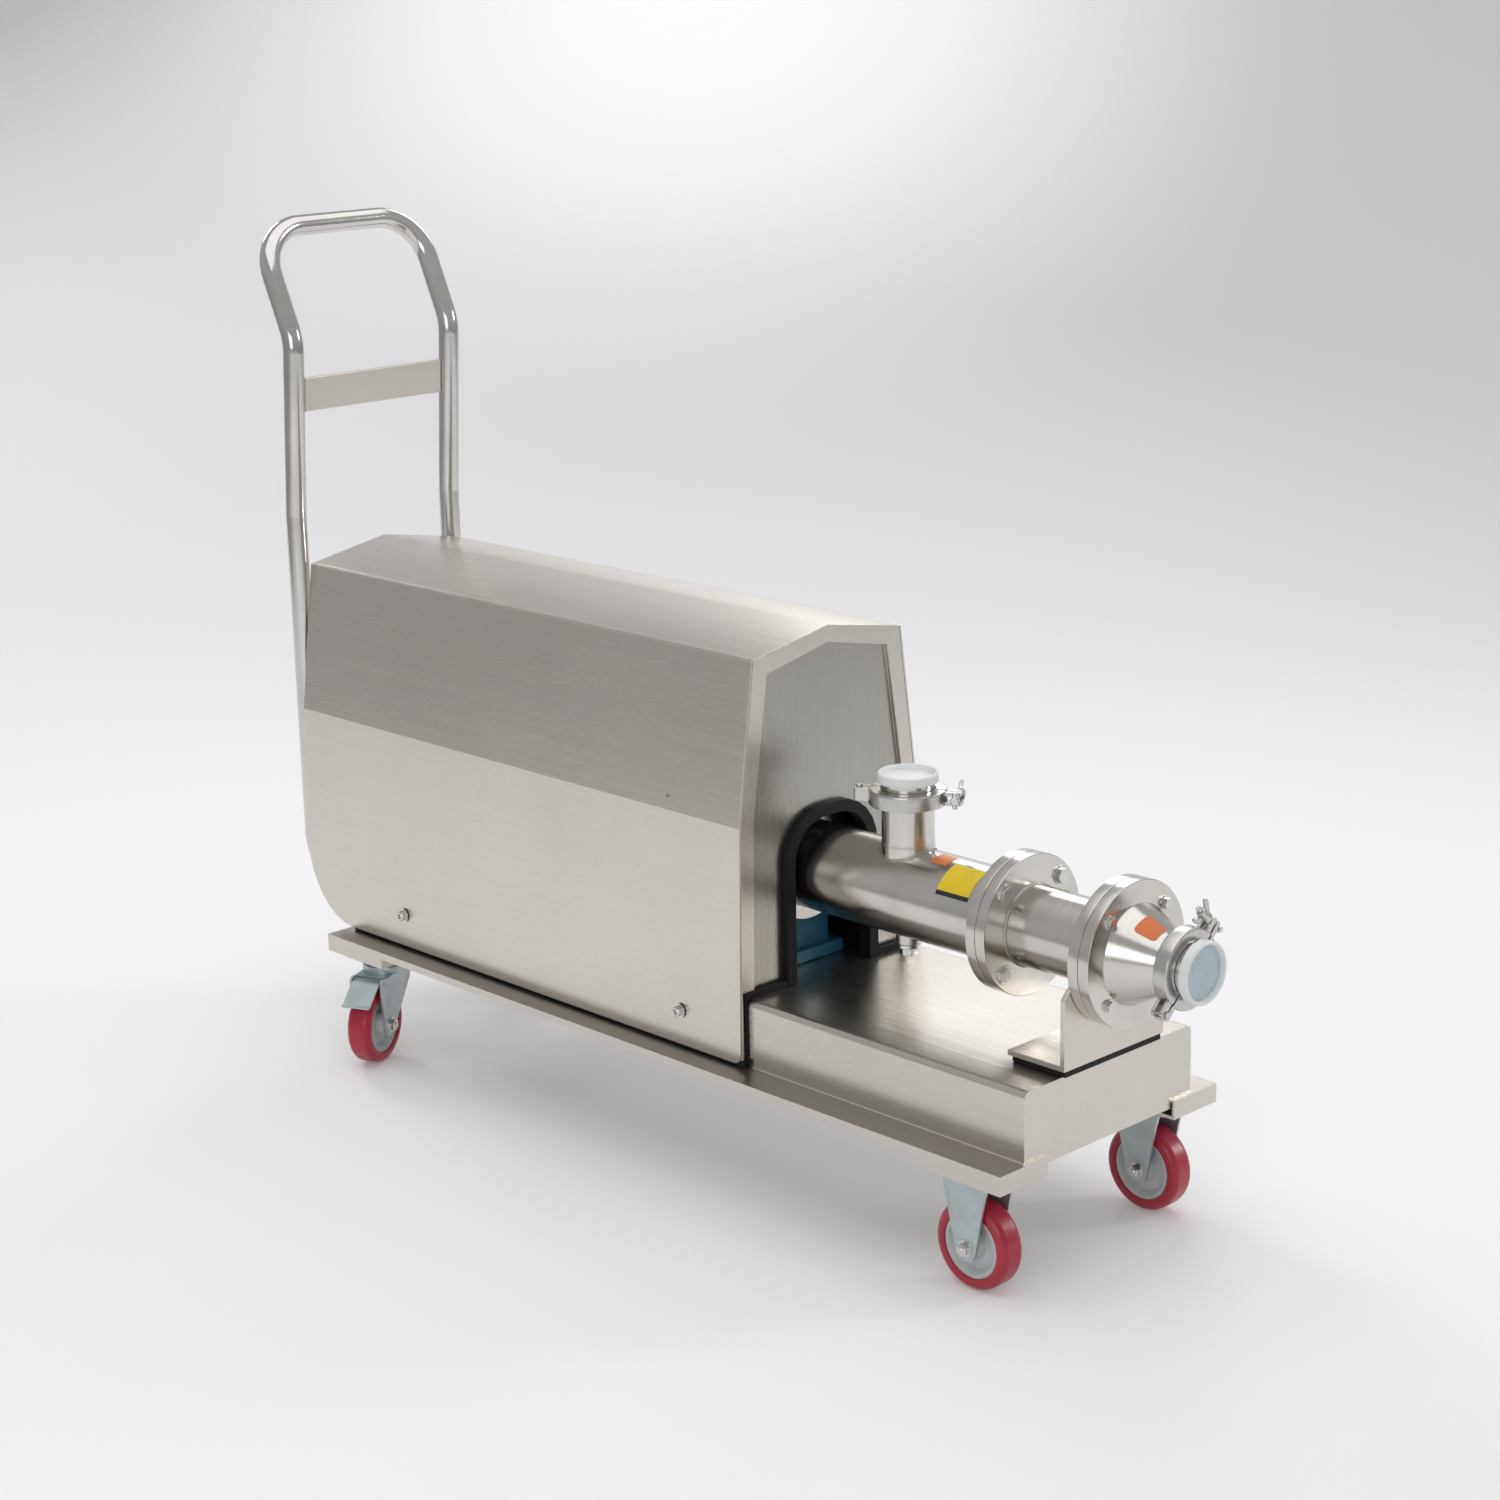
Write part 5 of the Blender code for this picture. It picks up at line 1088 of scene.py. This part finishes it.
def stageMaterial():
    s = studioSizes
    material = bpy.data.materials.new("paleFloor")
    material.use_nodes = True
    tree = material.node_tree
    shader = tree.nodes["Principled BSDF"]
    shader.inputs["Roughness"].default_value = s["roughness"]
    shader.inputs["Specular IOR Level"].default_value = 0.2
    shader.inputs["Emission Color"].default_value = (1, 1, 1, 1)
    spot = addNode(tree, "TexCoord")
    # Painted shade: the floor darkens a little towards the wall, with a faint unevenness
    tint = addNode(tree, "TexNoise", {"Scale": s["unevenScale"]})
    parts = addNode(tree, "SeparateXYZ")
    uneven = addNode(tree, "Math", {1: s["uneven"]}, operation="MULTIPLY_ADD")
    far = addNode(tree, "MapRange", {"From Min": s["shadeFrom"], "From Max": s["shadeTo"]},
                  interpolation_type="SMOOTHSTEP")
    base = s["floorColour"]
    mix = addNode(tree, "Mix", {
        "A": (*base, 1), "B": (*[c * s["paintedFarShade"] for c in base], 1)}, data_type="RGBA")
    addLinks(tree, (spot, "Object", parts, "Vector"), (tint, "Fac", uneven, 0),
             (parts, "X", uneven, 2), (uneven, "Value", far, "Value"),
             (far, "Result", mix, "Factor"), (mix, "Result", shader, "Base Color"))
    # The backdrop's own paleness, and a painted pool of light high on the wall
    reach = addNode(tree, "VectorMath", {1: (s["spotFar"], 0, s["spotHeight"])},
                    operation="DISTANCE")
    fade = addNode(tree, "MapRange", {
        "From Max": s["spotRadius"], "To Min": s["paleGlow"] + s["paintedSpotGlow"],
        "To Max": s["paleGlow"]}, interpolation_type="SMOOTHERSTEP")
    path = addNode(tree, "LightPath")
    seen = addNode(tree, "Math", operation="MAXIMUM")
    level = addNode(tree, "Math", operation="MULTIPLY")
    addLinks(tree, (spot, "Object", reach, 0), (reach, "Value", fade, "Value"),
             (path, "Is Camera Ray", seen, 0), (path, "Is Glossy Ray", seen, 1),
             (seen, "Value", level, 0), (fade, "Result", level, 1),
             (level, "Value", shader, "Emission Strength"))
    return material


# A pale sweep: floor, wide bend and wall, turned to face the camera
def makeStage():
    s = studioSizes
    clearSelection()
    bpy.ops.mesh.primitive_plane_add(size=2)
    sweep = bpy.context.active_object
    sweep.name = "paleSweep"
    outline = [(-s["nearReach"], 0.0), (s["wallDistance"], 0.0)]
    outline += arcPoints((s["wallDistance"], s["bend"]), s["bend"], 270, 360, 24)[1:]
    outline.append((s["wallDistance"] + s["bend"], s["wallHeight"]))
    mesh = bpy.data.meshes.new("paleSweep")
    points = [(u, side * s["sideReach"], v) for side in (-1, 1) for u, v in outline]
    count = len(outline)
    mesh.from_pydata(points, [], [(i, i + 1, count + i + 1, count + i)
                                  for i in range(count - 1)])
    sweep.data = mesh
    mesh.shade_smooth()
    sweep.rotation_euler = (0, 0, s["turn"])
    sweep.data.materials.append(stageMaterial())


# Brightness from straight below, at 0, to straight above, at 1
worldLevels = ((0.0, 0.46), (0.45, 0.46), (0.50, 0.52), (0.60, 0.62), (1.0, 0.56))
worldStrength = 0.75


def makeWorld():
    world = bpy.data.worlds.new("studioWorld")
    bpy.context.scene.world = world
    world.use_nodes = True
    tree = world.node_tree
    background = tree.nodes["Background"]
    background.inputs["Strength"].default_value = worldStrength
    spot = addNode(tree, "TexCoord")
    parts = addNode(tree, "SeparateXYZ")
    span = addNode(tree, "MapRange", {"From Min": -1.0})
    ramp = addNode(tree, "ValToRGB")
    elements = ramp.color_ramp.elements
    elements[1].position = 1.0
    for place, level in worldLevels[1:-1]:
        elements.new(place)
    for element, (place, level) in zip(elements, worldLevels):
        element.position = place
        element.color = (level, level, level * 1.01, 1)
    addLinks(tree, (spot, "Generated", parts, "Vector"), (parts, "Z", span, "Value"),
             (span, "Result", ramp, "Fac"), (ramp, "Color", background, "Color"))


lampSizes = {
    "overheadSoftbox": {"place": (0.1, 0.0, 3.4), "aim": 0.3, "size": (4.4, 3.4), "power": 46},
    "backSoftbox": {"place": (-1.6, 2.4, 2.2), "aim": 0.3, "size": (1.0, 1.4), "power": 12},
    "rightSoftbox": {"place": (3.4, 4.6, 2.5), "aim": 0.3, "size": (1.2, 1.2), "power": 54},
    "leftSoftbox": {"place": (-4.2, 0.7, 2.5), "aim": 0.3, "size": (1.2, 1.2), "power": 42},
    "frontFill": {"place": (1.6, -3.0, 1.3), "aim": 0.4, "size": (2.0, 1.4), "power": 14},
}


# Softboxes that point at the pump's middle, at the height given as aim
def makeLights():
    for name, lampSize in lampSizes.items():
        light = bpy.data.lights.new(name, "AREA")
        light.shape = "RECTANGLE"
        light.size, light.size_y = lampSize["size"]
        light.energy = lampSize["power"]
        lamp = newObject(name, light)
        lamp.location = lampSize["place"]
        ahead = Vector((0, 0, lampSize["aim"])) - Vector(lampSize["place"])
        lamp.rotation_euler = ahead.to_track_quat("-Z", "Y").to_euler()


cameraView = {"lens": 72.2, "sensor": 36.0, "clipEnd": 60.0,
              "place": (3.0403, -2.3322, 1.3836), "right": (0.69541, 0.71835, -0.01976),
              "up": (-0.1744, 0.19544, 0.9651), "ahead": (-0.6971, 0.6677, -0.2612)}


# Stands where the photograph was taken from
def makeCamera():
    v = cameraView
    camera = bpy.data.cameras.new("photoCamera")
    camera.lens = v["lens"]
    camera.sensor_width = v["sensor"]
    camera.clip_end = v["clipEnd"]
    holder = newObject("photoCamera", camera)
    columns = (Vector(v["right"]), Vector(v["up"]), -Vector(v["ahead"]))
    turn = Matrix([[c[row] for c in columns] for row in range(3)]).to_4x4()
    holder.matrix_world = Matrix.Translation(Vector(v["place"]) + layoutOffset) @ turn
    bpy.context.scene.camera = holder


makeStage()
makeWorld()
makeLights()
makeCamera()
bpy.context.scene.view_settings.view_transform = "Standard"
print("stage, light and camera set")
